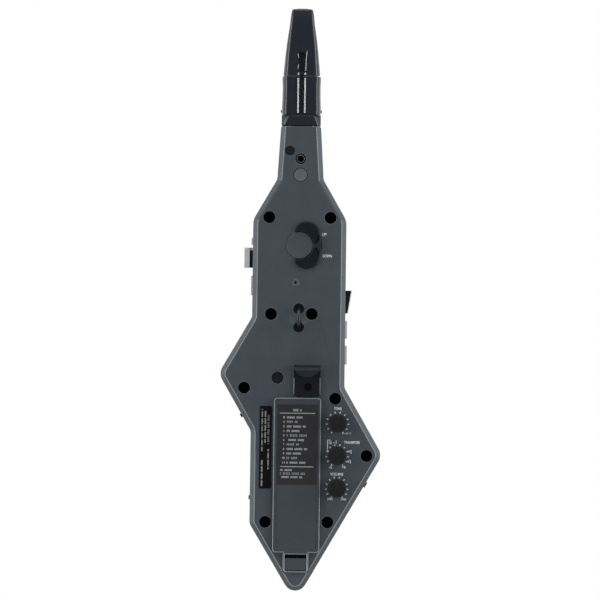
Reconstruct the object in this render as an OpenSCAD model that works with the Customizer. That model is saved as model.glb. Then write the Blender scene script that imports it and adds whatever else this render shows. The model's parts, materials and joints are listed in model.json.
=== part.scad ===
// Digital wind controller, hung from its strap ring with the mouthpiece up.
// X runs across, Y from the rear face to the finger keys, Z up to the mouthpiece.
// The origin is the centre of the strap ring's eye, in the plane of the rear face.

/* [Case outline] */
// Half width of the straight body
body_half_w = 36.4; // [35.5:0.1:38]
// Height of the shoulder corners
shoulder_z = 76.4; // [74:0.2:80]
// Half width of the neck where it meets the shoulders
neck_base_half_w = 18.1; // [17:0.1:19.5]
// Half width of the neck at its top
neck_top_half_w = 15.6; // [15:0.1:17]
// Height of the top of the neck
neck_top_z = 149.4; // [146:0.2:155]
// Angle of the slanted edges from the vertical
slant = 30; // [29:0.5:31]
// Reach of the left wing's corner
wing_left_x = 62; // [60:0.5:66]
// Height at which the left wing starts
wing_left_z = 0.3; // [-2:0.1:3]
// Reach of the right wing's corner
wing_right_x = 66.6; // [65:0.2:70]
// Height at which the right wing starts
wing_right_z = -54.1; // [-57:0.1:-52]
// Height of the lower left corner
left_low_z = -161; // [-164:0.5:-158]
// Corner radius of the shoulders
shoulder_r = 13; // [8:0.5:16]
// Corner radius of the wings
wing_r = 10; // [6:0.5:12]
// Corner radius of the bottom tip
tip_r = 9; // [6:0.5:11]
// Radius of the inner corners
inner_r = 7; // [4:0.5:10]

/* [Case depth] */
// Depth of the body
case_d = 36; // [35:0.5:42]
// Depth of the neck
neck_d = 30; // [29.5:0.1:31]
// Depth at which the two shells meet
seam_y = 19; // [18.5:0.1:19.3]
// Wall thickness of the shells
wall = 2.6; // [2.2:0.1:2.9]
// Width of the chamfer around the rear face
rear_chamfer = 3.6; // [3:0.1:4.4]
// Depth of that chamfer at the side walls
rear_chamfer_d = 2.8; // [2:0.1:3.2]
// Rounding around the front face
front_round = 5; // [3:0.5:6]
// Height at which the front starts to slope down to the neck
neck_slope_z = 98; // [97.4:0.2:102]
// Height over which it slopes
neck_slope_h = 14; // [10:1:18]

/* [Case screws] */
// Radius of the screw wells
well_r = 4.7; // [4:0.1:5]
// Depth of the screw wells
well_depth = 20.5; // [15:0.5:20.5]
// Wall around a well, and the floor below it
well_wall = 1.5; // [1.2:0.1:2]
// Radius of a screw head
screw_head_r = 3.2; // [2.8:0.1:3.6]
// Height of a screw head
screw_head_h = 2.2; // [1.6:0.1:2.6]
// Radius of a screw shank
screw_r = 1.5; // [1.2:0.05:1.7]
// Length of a screw shank
screw_len = 10; // [8:0.5:11]
// Wall around the thread in a boss
boss_wall = 2; // [1.6:0.1:2.4]
// Depth of the rubber plug below the rear face
well_plug_y = 0.6; // [0.3:0.1:1.5]
// Thickness of the rubber plug
well_plug_t = 3.4; // [2:0.1:5]

/* [Mouthpiece] */
// Height of the mouthpiece tip
mouth_tip_z = 241.8; // [236:0.2:248]
// Gap between the neck and the mouthpiece
mouth_gap = 0.8; // [0.4:0.1:1.5]
// Half width of the barrel
barrel_half_w = 15.5; // [14.5:0.1:16.5]
// Half depth of the barrel
barrel_half_d = 14; // [13:0.1:15]
// Height of the step where the beak starts
beak_z = 189; // [186:0.5:194]
// Half width of the beak at the step
beak_half_w = 13.9; // [12.5:0.1:14.5]
// Half width of the tip
mouth_tip_half_w = 8.6; // [7.5:0.1:10]
// Thickness of the tip
mouth_tip_t = 6.5; // [5:0.1:8]
// Depth of the tip's centre behind the barrel's axis
tip_back = 7; // [5:0.5:8.5]
// Radius of the breath passage in the beak
breath_r = 4; // [3:0.1:5]
// Width of the slot at the tip
tip_slot_w = 10; // [7:0.5:11]
// Height of the slot at the tip
tip_slot_t = 2; // [1.2:0.1:2.6]

/* [Neck and breath path] */
// Radius of the tenon under the mouthpiece
tenon_r = 9; // [8:0.1:9.6]
// Length of the tenon above the neck
tenon_len = 20; // [16:0.5:23]
// Radial clearance of the mouthpiece on its tenon
tenon_fit = 0.05; // [0.03:0.01:0.09]
// Radius of the tenon's flange
tenon_flange_r = 11; // [10.4:0.1:11.4]
// Thickness of the tenon's flange
tenon_flange_t = 3; // [2:0.1:4]
// Radius of the breath passage below the tenon
pipe_r = 3; // [2.4:0.1:3.4]
// Half width of the screw block on the breath pipe
block_half_w = 7; // [6:0.1:8]
// Height of the neck screw
neck_screw_z = 124.2; // [122:0.2:126]
// Radius of the neck screw's well
neck_well_r = 4.3; // [4:0.1:4.8]
// Height of the drain plug
plug_z = 130.6; // [129:0.2:134]
// Offset of the drain plug from the centre line
plug_x = -8.5; // [-9.5:0.1:-7]
// Radius of the drain plug
plug_r = 3.7; // [3:0.1:4.2]
// Height of the neck cap
cap_z = 111.7; // [110:0.2:113]
// Radius of the neck cap
cap_r = 5; // [4:0.1:6]
// Width of the groove around the neck cap
cap_groove = 0.4; // [0.2:0.1:0.8]
// Height of the breath sensor's lower end
sensor_z = 77; // [76.5:0.1:79]

/* [Octave keys] */
// Height of the thumb rest's centre
rest_z = 56.8; // [55:0.1:58]
// Radius of the thumb rest
rest_r = 10; // [9:0.1:10.4]
// Gap between the thumb rest and the octave keys
rest_gap = 0.8; // [0.5:0.1:1.2]
// Distance of each octave key's centre above or below the rest
octave_dz = 8.45; // [8:0.05:9]
// Sideways offset of the octave keys' centres
octave_x = 5.45; // [5:0.05:6]
// Outer radius of the octave keys
octave_r = 9.8; // [9:0.1:10.4]
// Distance of the octave keys' tips above or below the rest's centre
octave_tip = 2.2; // [1:0.1:3]
// Place of the octave keys' left ends
octave_end_x = -3.4; // [-4:0.1:-2.5]
// Travel of the octave keys
octave_travel = 1.5; // [0.8:0.1:2]
// How far the octave keys stand out
octave_proud = 2; // [1.8:0.1:3]

/* [Strap ring] */
// Radius of the ring's wire
ring_wire_r = 1.5; // [1.2:0.05:1.8]
// Distance of each leg from the centre
ring_leg = 7.15; // [6.8:0.05:7.8]
// Radius of the wells around the legs
ring_well_r = 4.3; // [4:0.1:4.8]
// Depth of those wells
ring_well_depth = 5; // [3:0.1:6]
// Depth of the dish between the wells
ring_dish = 1.3; // [0.8:0.1:1.5]

/* [Thumb hook] */
// Sideways centre of the thumb hook
hook_x = 7.15; // [6:0.05:8.5]
// Width of the thumb hook
hook_w = 20.9; // [19:0.1:22]
// Height of its upper edge
hook_top_z = -36.7; // [-37.5:0.1:-35]
// Length of its base plate
hook_len = 24.6; // [23.5:0.1:24.8]
// How far the tongue stands out
hook_reach = 15; // [13:0.5:19]
// Thickness of the tongue
hook_t = 2.8; // [2.2:0.1:3.4]
// Distance of the hook's screw below the upper edge
hook_screw_drop = 16.9; // [15:0.1:18]
// Thickness of the base plate above the case
hook_base_t = 1.6; // [1.2:0.1:2]
// Depth of the pocket that the base plate sits in
hook_pocket = 0.8; // [0.5:0.1:1.2]

/* [Battery bay] */
// Half width of the battery door
door_half_w = 18.3; // [18:0.1:19]
// Height of the door's upper edge
door_top_z = -62.3; // [-64:0.1:-62.2]
// Length of the door without its tab
door_len = 120.5; // [118.5:0.1:122]
// How far the door stands out
door_proud = 3; // [2.5:0.1:4]
// Thickness of the door
door_t = 1.8; // [1.4:0.1:2.2]
// Corner radius of the door
door_r = 2.5; // [1:0.1:4]
// Half width of the tab below the door
tab_half_w = 9.9; // [9:0.1:11]
// Length of the tab
tab_len = 15.4; // [14:0.1:17]
// Travel of the latch
latch_travel = 2.8; // [1.5:0.1:3]
// Radius of a cell
cell_r = 7.25; // [7:0.05:7.3]
// Length of a cell with its button
cell_len = 50.5; // [50:0.1:50.6]
// Wall of the battery bay
bay_wall = 2; // [1.4:0.1:2.2]

/* [Labels] */
// Thickness of the labels
label_t = 0.3; // [0.2:0.05:0.4]
// Width of the tone label
tone_label_w = 30.8; // [28:0.1:32]
// Height of the tone label
tone_label_h = 62.2; // [58:0.1:66]
// Distance of the tone label below the door's upper edge
tone_label_drop = 5.2; // [4:0.1:8]
// Sideways centre of the rating plate
plate_x = -24.7; // [-25.4:0.1:-24.2]
// Width of the rating plate
plate_w = 9.4; // [8:0.1:10]
// Height of the rating plate's upper edge
plate_top_z = -68.9; // [-72:0.1:-68]
// Length of the rating plate
plate_len = 64.4; // [60:0.1:66]

/* [Knobs] */
// Sideways centre of the knobs
knob_x = 31.4; // [30.5:0.1:33]
// Height of the upper knob
knob_top_z = -81.7; // [-83:0.1:-80]
// Distance from knob to knob
knob_pitch = 25.35; // [23:0.05:27]
// Radius of the knobs
knob_r = 7; // [6:0.1:7.6]
// How far the knobs stand out
knob_h = 9; // [7:0.5:12]
// Radius of the knob stems
knob_stem_r = 3; // [2.5:0.1:3.4]
// Radial clearance of a stem in its rotary switch
knob_fit = 0.05; // [0.03:0.01:0.09]
// Side of a rotary switch
rotary_w = 13; // [11:0.5:14]

/* [Edge keys] */
// Depth at which the edge keys are centred
edge_key_y = 25; // [24.8:0.1:25.4]
// Size of the edge keys front to back
edge_key_d = 10; // [9:0.1:10.4]
// Height of the upper palm key's centre
palm_1_z = 59.6; // [58.6:0.1:60]
// Length of the upper palm key
palm_1_len = 5.4; // [4.6:0.1:5.4]
// Height of the middle palm key's centre
palm_2_z = 46.8; // [46:0.1:47]
// Length of the middle palm key
palm_2_len = 15.8; // [14:0.1:16]
// How far the middle palm key stands out
palm_2_proud = 6.9; // [6.4:0.1:8]
// Thickness of the middle palm key's cap
palm_cap_t = 4.4; // [3:0.1:4.5]
// Height of the lower palm key's centre
palm_3_z = 25; // [23:0.1:28]
// Length of the lower palm key
palm_3_len = 15.5; // [13:0.1:17]
// How far the flat palm keys stand out
palm_flat_proud = 1.5; // [1:0.1:2]
// Height of the upper side key's centre
side_1_z = 12.9; // [12.5:0.1:15]
// Length of the upper side key
side_1_len = 18; // [15:0.1:18]
// How far the upper side key stands out at its top
side_1_proud = 5.3; // [3.5:0.1:5.5]
// Height of the middle side key's centre
side_2_z = -8.9; // [-10:0.1:-8]
// Length of the middle side key
side_2_len = 14; // [12:0.1:15]
// Height of the lower side key's centre
side_3_z = -28.8; // [-30:0.1:-28]
// Length of the lower side key
side_3_len = 14.8; // [13:0.1:16]
// How far the middle and lower side keys stand out
side_flat_proud = 1.8; // [1:0.1:2.5]

/* [Finger keys] */
// Height of the upper hand's first key
upper_stack_z = 76; // [75:0.2:77]
// Height of the lower hand's first key
lower_stack_z = -22; // [-24:0.2:-20]
// Distance from one main key to the next
stack_pitch = 23; // [22:0.1:24]
// Radius of the main keys
main_key_r = 8.5; // [7:0.1:9]
// Radius of the two small upper keys
small_key_r = 4.6; // [4.2:0.1:5]
// Sideways offset of the key between the first two
bis_x = 12; // [11.4:0.1:13]
// Width of the little finger keys
bar_w = 20; // [17:0.5:21]
// Height of the little finger keys
bar_h = 10; // [8:0.2:11]
// Distance from one little finger key to the next
bar_pitch = 12.5; // [12:0.1:13]
// Sideways centre of the uppermost left little finger key
left_bar_x = -34; // [-35:0.2:-33]
// Height of that key above the lower hand's first key
left_bar_rise = 2; // [1:0.2:3]
// How much further out the next two lie
left_bar_step = 5; // [4:0.2:6]
// How much further in the lowest one lies
left_bar_back = 2; // [1:0.2:3]
// Sideways centre of the right little finger keys
right_bar_x = 41; // [40:0.2:42]
// Height of the upper right little finger key
right_bar_z = -93; // [-94:0.2:-91]
// Distance of a little finger key's stem from its centre
bar_stem_dx = 6; // [5:0.2:6.4]
// Thickness of a key cap
key_cap_t = 4.2; // [3:0.1:5]
// Travel of the finger keys
key_travel = 2.2; // [1.5:0.1:2.6]
// Radius of the key stems
key_stem_r = 3.2; // [2.6:0.1:3.5]

/* [Board and speaker] */
// Distance of the board's edge from the case outline
board_inset = 9.6; // [9.2:0.1:10.4]
// Height of the board's upper edge
board_top_z = 98; // [97:0.5:104]
// Thickness of the main board
board_t = 1.6; // [1:0.1:2]
// Depth of the board's rear face
board_y = 23; // [22.8:0.1:23.2]
// Thickness of the contact mats
mat_t = 1.2; // [0.8:0.1:1.4]
// Sideways centre of the speaker
speaker_x = 3; // [2:0.1:4]
// Height of the speaker's centre
speaker_z = -138; // [-140:0.5:-136]
// Radius of the speaker
speaker_r = 19.5; // [18:0.1:20]
// Depth of the speaker
speaker_d = 8; // [6:0.1:8.4]
// Thickness of the speaker grille
grille_t = 1.6; // [1.2:0.1:1.8]
// Radius of the grille's holes
grille_hole_r = 1.2; // [0.8:0.05:1.3]
// Distance between the grille's holes
grille_pitch = 4.2; // [3.8:0.1:5]

/* [Sockets and switch] */
// Height of the phones jack
jack_z = -129.7; // [-134:0.1:-126]
// Radius of the phones jack's bore
jack_bore_r = 1.8; // [1.76:0.02:1.9]
// Depth of the phones jack's bore
jack_bore_len = 14; // [13:0.1:15]
// Radius of the phones jack's bush
jack_bush_r = 2.4; // [2.3:0.1:3.8]
// Depth at which the sockets are centred
socket_y = 12.5; // [12:0.1:13]
// Height of the data socket
usb_z = -140.7; // [-143:0.1:-138]
// Height of the power switch
switch_z = -76.5; // [-78:0.1:-73]
// Travel of the power switch
switch_travel = 3; // [2:0.1:4]

/* [Hidden] */
$fn = 48;
// general clearance between pieces that move past each other
gap = 0.3;
// overlap that lets a cut or a join pass its face
eps = 0.5;
// radial room around a piece that sits still in its seat
seat_fit = 0.15;
// radial room around a screw's shank, and around its thread
shank_gap = 0.2;
thread_fit = 0.05;
facets = 6;
flange_t = 1.2;
flange_w = 1.5;

// walls and planes that follow from the driving sizes
front_inner = case_d - wall;
board_front = board_y + board_t;
post_r = well_r + well_wall;
post_end = well_depth + well_wall;
boss_r = screw_r + boss_wall;
shoulder_boss_r = boss_r + 1.8;
neck_axis_y = neck_d / 2;
run = 1 / tan(slant);
neck_base_z = shoulder_z + (body_half_w - neck_base_half_w) * run;
left_apex_z = wing_left_z - (wing_left_x - body_half_w) * run;
left_low_wing_z = left_apex_z - (wing_left_x - body_half_w) * run;
right_apex_z = wing_right_z - (wing_right_x - body_half_w) * run;
tip_z = right_apex_z - wing_right_x * run;

// corners of the case, x, z and radius, counter-clockwise as seen from the rear
corners = [
    [0, tip_z, tip_r],
    [wing_right_x, right_apex_z, wing_r],
    [body_half_w, wing_right_z, inner_r],
    [body_half_w, shoulder_z, shoulder_r],
    [neck_base_half_w, neck_base_z, inner_r],
    [neck_top_half_w, neck_top_z, 1.5],
    [-neck_top_half_w, neck_top_z, 1.5],
    [-neck_base_half_w, neck_base_z, inner_r],
    [-body_half_w, shoulder_z, shoulder_r],
    [-body_half_w, wing_left_z, inner_r],
    [-wing_left_x, left_apex_z, wing_r],
    [-body_half_w, left_low_wing_z, inner_r],
    [-body_half_w, left_low_z, inner_r],
];
// the same with the neck's sides drawn on past its top, for the chamfer that leaves the top edge square
neck_over = 2 * rear_chamfer;
neck_over_half_w =
    neck_top_half_w - (neck_base_half_w - neck_top_half_w) * neck_over / (neck_top_z - neck_base_z);
chamfer_corners = [
    for (c = corners)
        c[1] < neck_top_z ? c : [sign(c[0]) * neck_over_half_w, neck_top_z + neck_over, c[2]]
];

// screw places, x and z
screws = [
    [-23.9, 78.4], [23.9, 78.4], [-21.6, 2.8], [10.2, 3.2], [-15.9, -46.8],
    [-41.9, -54.9], [29.3, -62.7], [54.3, -107], [-24.2, -159.4], [24.4, -159.2],
];

// finger keys, x and z
main_keys = [for (top = [upper_stack_z, lower_stack_z], i = [0:2]) [0, top - i * stack_pitch]];
small_keys = [[0, upper_stack_z + stack_pitch * 0.7], [bis_x, upper_stack_z - stack_pitch / 2]];
left_bars = [
    for (i = [0:3])
        let (x = left_bar_x - (i > 0 ? left_bar_step : 0) + (i > 2 ? left_bar_back : 0))
        [x, lower_stack_z + left_bar_rise - i * bar_pitch]
];
right_bars = [for (i = [0:1]) [right_bar_x, right_bar_z - i * bar_pitch]];
// stems of the little finger keys lie nearer the middle than their caps
stems = concat(
    main_keys,
    small_keys,
    [for (p = left_bars) [p[0] + bar_stem_dx, p[1]]],
    [for (p = right_bars) [p[0] - bar_stem_dx, p[1]]]
);
cap_y = case_d + key_travel + gap;
cap_top_y = cap_y + key_cap_t;

// edge keys: side, z, length, how far it travels
edge_keys = [
    [-1, palm_1_z, palm_1_len, palm_flat_proud - 0.1],
    [-1, palm_2_z, palm_2_len, palm_2_proud - palm_cap_t - gap],
    [-1, palm_3_z, palm_3_len, palm_flat_proud - 0.1],
    [1, side_1_z, side_1_len, side_flat_proud - gap],
    [1, side_2_z, side_2_len, side_flat_proud - gap],
    [1, side_3_z, side_3_len, side_flat_proud - gap],
];
edge_inner_x = body_half_w - wall - gap - flange_t;
edge_plunger_x = edge_inner_x - 1.2;

// battery bay
bay_half_w = 2 * cell_r + 0.5;
cell_y = cell_r + gap - door_proud + door_t + 0.9;
bay_floor_y = cell_y + cell_r;
contact_t = 0.5;
contact_h = 1.6;
rib_t = 1.4;
bay_len = 2 * cell_len + 4 * (contact_t + contact_h) + rib_t;
bay_mid_z = door_top_z - door_len / 2;
bay_top_z = bay_mid_z + bay_len / 2;
door_bottom_z = door_top_z - door_len;
tab_bottom_z = door_bottom_z - tab_len;
door_inner_y = wall - gap;

// mouthpiece
mouth_base_z = neck_top_z + mouth_gap;
tenon_top_z = neck_top_z + tenon_len;
tenon_low_z = neck_top_z - wall - tenon_flange_t;
block_half_h = 6;
block_y = wall + 2;
nipple_r = pipe_r + 1;
nipple_len = 7;
tube_wall = 1.4;
sensor_h = 11;
sensor_top_z = sensor_z + sensor_h;
block_low_z = neck_screw_z - block_half_h;
seal_t = 1.8;
seal_z = neck_top_z + tenon_len * 0.6;
neck_seat = 3;
cap_seat = 1.2;
cap_groove_depth = 0.8;
neck_chamfer = 2.6;

// thumb rest, octave keys, pinhole and strap ring
rest_seat = 1.2;
switch_h = 2.2;
octave_stem = [octave_x + 3.4, octave_dz + 2.6];
octave_stem_end = board_y - switch_h - gap - octave_travel;
pin_x = -2.8;
pin_z = 27.6;
pin_ring_r = 2.7;
pin_ring_proud = 0.4;
side_1_lean = 2.9;
pin_dish_r = 1.6;
pin_r = 0.5;
dish_r = 20;

// thumb hook
hook_screw_x = hook_x + 0.8;
hook_screw_z = hook_top_z - hook_screw_drop;
hook_boss_y = 10;
hook_boss_r = 4.3;
hook_seat = -0.2;

// latch
latch_half_w = 8.2;
window_top = door_bottom_z - 1.4;
latch_low = tab_bottom_z + 1.2 + gap;
latch_top = window_top - gap - latch_travel;
latch_guide_y = -door_proud + door_t;
latch_lip = 0.6;
latch_room_y = wall + 3.4;
latch_cup_t = 1.6;

// the four cells: side, row and which way the button points
cells = [for (s = [-1, 1], row = [0, 1]) [s, row, (s > 0) ? 1 : -1]];

// groove that frames the battery door
frame_in = 2.4;
frame_w = 0.5;
frame_depth = 0.3;

// sockets, switches and stems
usb_d = 9;
usb_t = 3.2;
switch_knob_d = 3.4;
switch_knob_l = 3.2;
switch_body_l = 11;
rotary_y = wall;
rotary_h = 5;
rotary_floor_y = rotary_y + rotary_h - 0.8;
jack_half_w = 4.4;
jack_rim = 1.4;
usb_rim = 1.1;
speaker_lip = 1.5;
grille_r = speaker_r + 0.85;
stem_end_y = board_front + mat_t + gap + key_travel;

// A helper for 2D corners

function unit(v) = v / norm(v);
function turned(v, a) = [v[0] * cos(a) - v[1] * sin(a), v[0] * sin(a) + v[1] * cos(a)];
function spot(i, list) = [list[i][0], list[i][1]];

// corner i moved inwards by d, so that every edge moves by d
function moved(i, d, list) =
    let (
        n = len(list),
        e1 = unit(spot(i, list) - spot((i + n - 1) % n, list)),
        e2 = unit(spot((i + 1) % n, list) - spot(i, list)),
        n1 = [-e1[1], e1[0]],
        n2 = [-e2[1], e2[0]]
    )
    spot(i, list) + d * (n1 + n2) / (1 + n1 * n2);

// points of the rounded corner i of the outline that lies d inside the one through the listed corners
function corner_arc(i, d, list) =
    let (
        n = len(list),
        v = moved(i, d, list),
        e1 = unit(v - moved((i + n - 1) % n, d, list)),
        e2 = unit(moved((i + 1) % n, d, list) - v),
        turn = atan2(cross(e1, e2), e1 * e2),
        side = turn > 0 ? 1 : -1,
        r = max(list[i][2] - side * d, 0.4),
        n1 = side * [-e1[1], e1[0]],
        c = v - e1 * r * tan(abs(turn) / 2) + n1 * r
    )
    [for (k = [0:facets]) c + turned(-n1 * r, turn * k / facets)];

function outline(d, list = corners) = [for (i = [0:len(list) - 1]) each corner_arc(i, d, list)];
function lifted(ring, y) = [for (p = ring) [p[0], y, p[1]]];

// Shape helpers

// a solid through rings of equal counts, which run counter-clockwise as seen from the first one's side
module loft(rings) {
    n = len(rings[0]);
    last = len(rings) - 1;
    polyhedron(
        points = [for (ring = rings) each ring],
        faces = concat(
            [[for (i = [n - 1:-1:0]) i]],
            [[for (i = [0:n - 1]) last * n + i]],
            [
                for (k = [0:last - 1], i = [0:n - 1], half = [0, 1])
                    let (a = k * n + i, b = k * n + (i + 1) % n)
                    half == 0 ? [a, b, b + n] : [a, b + n, a + n]
            ]
        )
    );
}

// a ring around an outline; each point of its section is [distance inside the outline, y]
module edge_ring(section, list = corners) {
    n = len(outline(0, list));
    m = len(section);
    polyhedron(
        points = [for (s = section) each lifted(outline(s[0], list), s[1])],
        faces = [
            for (k = [0:m - 1], i = [0:n - 1], half = [0, 1])
                let (a = k * n + i, b = k * n + (i + 1) % n, up = ((k + 1) % m - k) * n)
                half == 0 ? [a, b, b + up] : [a, b + up, a + up]
        ]
    );
}

// extrudes a drawing in X and Z from y0 to y1
module along_y(y0, y1) translate([0, y1, 0]) rotate([90, 0, 0]) linear_extrude(y1 - y0) children();

module rod_y(x, z, r, y0, y1) translate([x, y1, z]) rotate([90, 0, 0]) cylinder(r = r, h = y1 - y0);

module rod_z(x, y, r, z0, z1) translate([x, y, z0]) cylinder(r = r, h = z1 - z0);

// a rod from x along X, or against it where len is negative
module rod_x(x, y, z, r, len) {
    translate([min(x, x + len), y, z]) rotate([0, 90, 0]) cylinder(r = r, h = abs(len));
}

// a box from its low to its high corner
module block(low, high) translate(low) cube(high - low);

module round_rect(x, z, w, h, r) {
    translate([x, z]) {
        square([w - 2 * r, h], center = true);
        square([w, h - 2 * r], center = true);
        for (sx = [-1, 1], sz = [-1, 1]) translate([sx * (w / 2 - r), sz * (h / 2 - r)]) circle(r);
    }
}

module case_prism(d, y0, y1) along_y(y0, y1) polygon(outline(d));

// places children at a slanted edge: local X points out of the case, local Z along the edge
module at_edge(x, y, z, a) translate([x, y, z]) rotate([0, a, 0]) children();

module at_jack()
    at_edge(wing_right_x - (right_apex_z - jack_z) / run, socket_y, jack_z, slant) children();

module at_switch()
    at_edge(-wing_left_x + (left_apex_z - switch_z) / run, socket_y, switch_z, 180 - slant) children();

module at_usb() at_edge(-body_half_w, socket_y, usb_z, 180) children();

module tenon_hole() rod_z(0, neck_axis_y, tenon_r + 0.1, neck_top_z - wall - eps, neck_top_z + eps);

// Case shells

module rear_skin() {
    out = 2;
    difference() {
        case_prism(0, 0, seam_y);
        edge_ring([
            [-out, -out],
            [-out, rear_chamfer_d * (1 + out / rear_chamfer)],
            [rear_chamfer * (1 + out / rear_chamfer_d), -out],
        ], chamfer_corners);
        case_prism(wall, wall, seam_y + eps);
    }
}

// crescent above or below the thumb rest, cut off at its tip and at its left end
module octave_outline(side, grow) {
    big = 4 * octave_r;
    difference() {
        translate([octave_x, rest_z + side * octave_dz]) circle(octave_r + grow);
        translate([0, rest_z]) circle(rest_r + rest_gap - grow);
        translate([-big / 2, rest_z + side * (octave_tip - grow) - (side > 0 ? big : 0)])
            square([2 * big, big]);
        translate([octave_end_x - grow - big, rest_z - big / 2]) square(big);
    }
}

module bay_outer() {
    w = bay_half_w + bay_wall;
    block(
        [-w, wall - eps, bay_top_z - bay_len - bay_wall],
        [w, bay_floor_y + bay_wall, bay_top_z + bay_wall]
    );
    // ledge under the door's edge
    ledge = door_half_w + gap + bay_wall;
    block(
        [-ledge, wall - eps, door_bottom_z - bay_wall],
        [ledge, wall + bay_wall, door_top_z + bay_wall - gap]
    );
}

module bay_cells_space() {
    z0 = bay_top_z - bay_len;
    difference() {
        block([-bay_half_w, -eps, z0], [bay_half_w, bay_floor_y, bay_top_z]);
        // rib between the two rows of cells
        block(
            [-bay_half_w - eps, wall, bay_mid_z - rib_t / 2],
            [bay_half_w + eps, bay_floor_y + eps, bay_mid_z + rib_t / 2]
        );
    }
}

module door_opening() {
    mid = (door_top_z + door_bottom_z) / 2;
    along_y(-eps, wall) {
        round_rect(0, mid, 2 * (door_half_w + gap), door_len + 2 * gap, door_r + gap);
        round_rect(0, (door_bottom_z + tab_bottom_z) / 2, 2 * (tab_half_w + gap), tab_len + 2 * gap, door_r);
        translate([-tab_half_w - gap, door_bottom_z - 2 * door_r])
            square([2 * (tab_half_w + gap), 4 * door_r]);
    }
}

module rear_case() {
    color("#464e55") difference() {
        union() {
            rear_skin();
            for (p = screws) rod_y(p[0], p[1], post_r, wall - eps, post_end);
            bay_outer();
            // cup behind the tab of the door
            block(
                [-tab_half_w - bay_wall, wall - eps, tab_bottom_z - bay_wall],
                [tab_half_w + bay_wall, latch_room_y + latch_cup_t, door_bottom_z]
            );
            // cups of the strap ring
            for (s = [-1, 1])
                rod_y(0, s * ring_leg, ring_well_r + well_wall, wall - eps, ring_well_depth + 2);
            // boss of the hook's screw
            rod_y(hook_screw_x, hook_screw_z, hook_boss_r, wall - eps, hook_boss_y);
            // raised ring around the pinhole
            rod_y(pin_x, pin_z, pin_ring_r, -pin_ring_proud, wall);
            // boss of the neck screw
            rod_y(0, neck_screw_z, neck_well_r + well_wall, wall - eps, block_y);
        }
        for (p = screws) {
            rod_y(p[0], p[1], well_r, -eps, well_depth);
            rod_y(p[0], p[1], screw_r + shank_gap, 0, post_end + eps);
        }
        bay_cells_space();
        door_opening();
        // room for the latch
        block(
            [-tab_half_w - gap, 0, tab_bottom_z - gap],
            [tab_half_w + gap, latch_room_y, door_bottom_z - bay_wall]
        );
        // strap wells, their dish and the holes of the legs
        for (s = [-1, 1]) {
            rod_y(0, s * ring_leg, ring_well_r, -eps, ring_well_depth);
            rod_y(0, s * ring_leg, ring_wire_r + thread_fit, 0, ring_well_depth + 3);
        }
        translate([0, ring_dish - dish_r, 0]) sphere(r = dish_r, $fn = 96);
        // thumb rest and octave keys
        rod_y(0, rest_z, rest_r + seat_fit, -eps, rest_seat);
        for (side = [-1, 1]) along_y(-eps, wall + eps) octave_outline(side, gap);
        // neck cap, drain plug and neck screw
        rod_y(0, cap_z, cap_r + seat_fit, -eps, cap_seat);
        rod_y(0, cap_z, cap_r + cap_groove, -eps, cap_groove_depth);
        rod_y(plug_x, plug_z, plug_r + seat_fit, -eps, cap_seat);
        rod_y(plug_x, plug_z, plug_r - 1, 0, wall + eps);
        rod_y(0, neck_screw_z, neck_well_r, -eps, neck_seat);
        rod_y(0, neck_screw_z, screw_r + shank_gap, 0, block_y + eps);
        // thumb hook
        along_y(-eps, hook_pocket) hook_plan(seat_fit);
        rod_y(hook_screw_x, hook_screw_z, screw_r + thread_fit, 0, hook_boss_y - 1);
        // pinhole
        rod_y(pin_x, pin_z, pin_dish_r, -1, 0);
        rod_y(pin_x, pin_z, pin_r, -1, wall + eps);
        // knobs
        for (i = [0:2]) rod_y(knob_x, knob_top_z - i * knob_pitch, knob_stem_r + gap, -eps, wall + eps);
        // sockets and power switch
        at_jack() rotate([0, 90, 0]) cylinder(r = jack_bush_r + seat_fit, h = 3 * wall, center = true);
        at_usb() cube([4 * wall, usb_d + 2 * seat_fit, usb_t + 2 * seat_fit], center = true);
        at_switch() translate([0, 0, switch_travel / 2])
            cube([4 * wall, switch_knob_d + 2 * gap, switch_knob_l + switch_travel + 2 * gap], center = true);
        tenon_hole();
    }
}

// prism that is cut away in front of the neck
module front_neck_cut(back) {
    translate([-wing_right_x, -back, 0]) rotate([90, 0, 90]) linear_extrude(2 * wing_right_x) polygon([
        [case_d, neck_slope_z],
        [neck_d, neck_slope_z + neck_slope_h],
        [neck_d, neck_top_z + 10],
        [2 * case_d, neck_top_z + 10],
        [2 * case_d, neck_slope_z],
    ]);
}

module neck_edge_chamfers() {
    taper = atan2(neck_base_half_w - neck_top_half_w, neck_top_z - neck_base_z);
    for (s = [-1, 1])
        translate([s * neck_base_half_w, neck_d, neck_base_z])
            rotate([0, -s * taper, 0])
                rotate([0, 0, 45])
                    translate([-neck_chamfer, -neck_chamfer, neck_slope_z + neck_slope_h - neck_base_z])
                        cube([2 * neck_chamfer, 2 * neck_chamfer, 2 * neck_top_z]);
}

module front_skin() {
    round_steps = 4;
    out = 2;
    difference() {
        case_prism(0, seam_y, case_d);
        edge_ring(concat(
            [[-out, case_d - front_round], [-out, case_d + out], [front_round, case_d + out]],
            [
                for (k = [round_steps:-1:0])
                    let (a = 90 * k / round_steps)
                    [front_round * (1 - cos(a)), case_d - front_round * (1 - sin(a))]
            ]
        ));
        front_neck_cut(0);
        neck_edge_chamfers();
        difference() {
            case_prism(wall, seam_y - eps, front_inner);
            front_neck_cut(wall);
        }
    }
}

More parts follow.
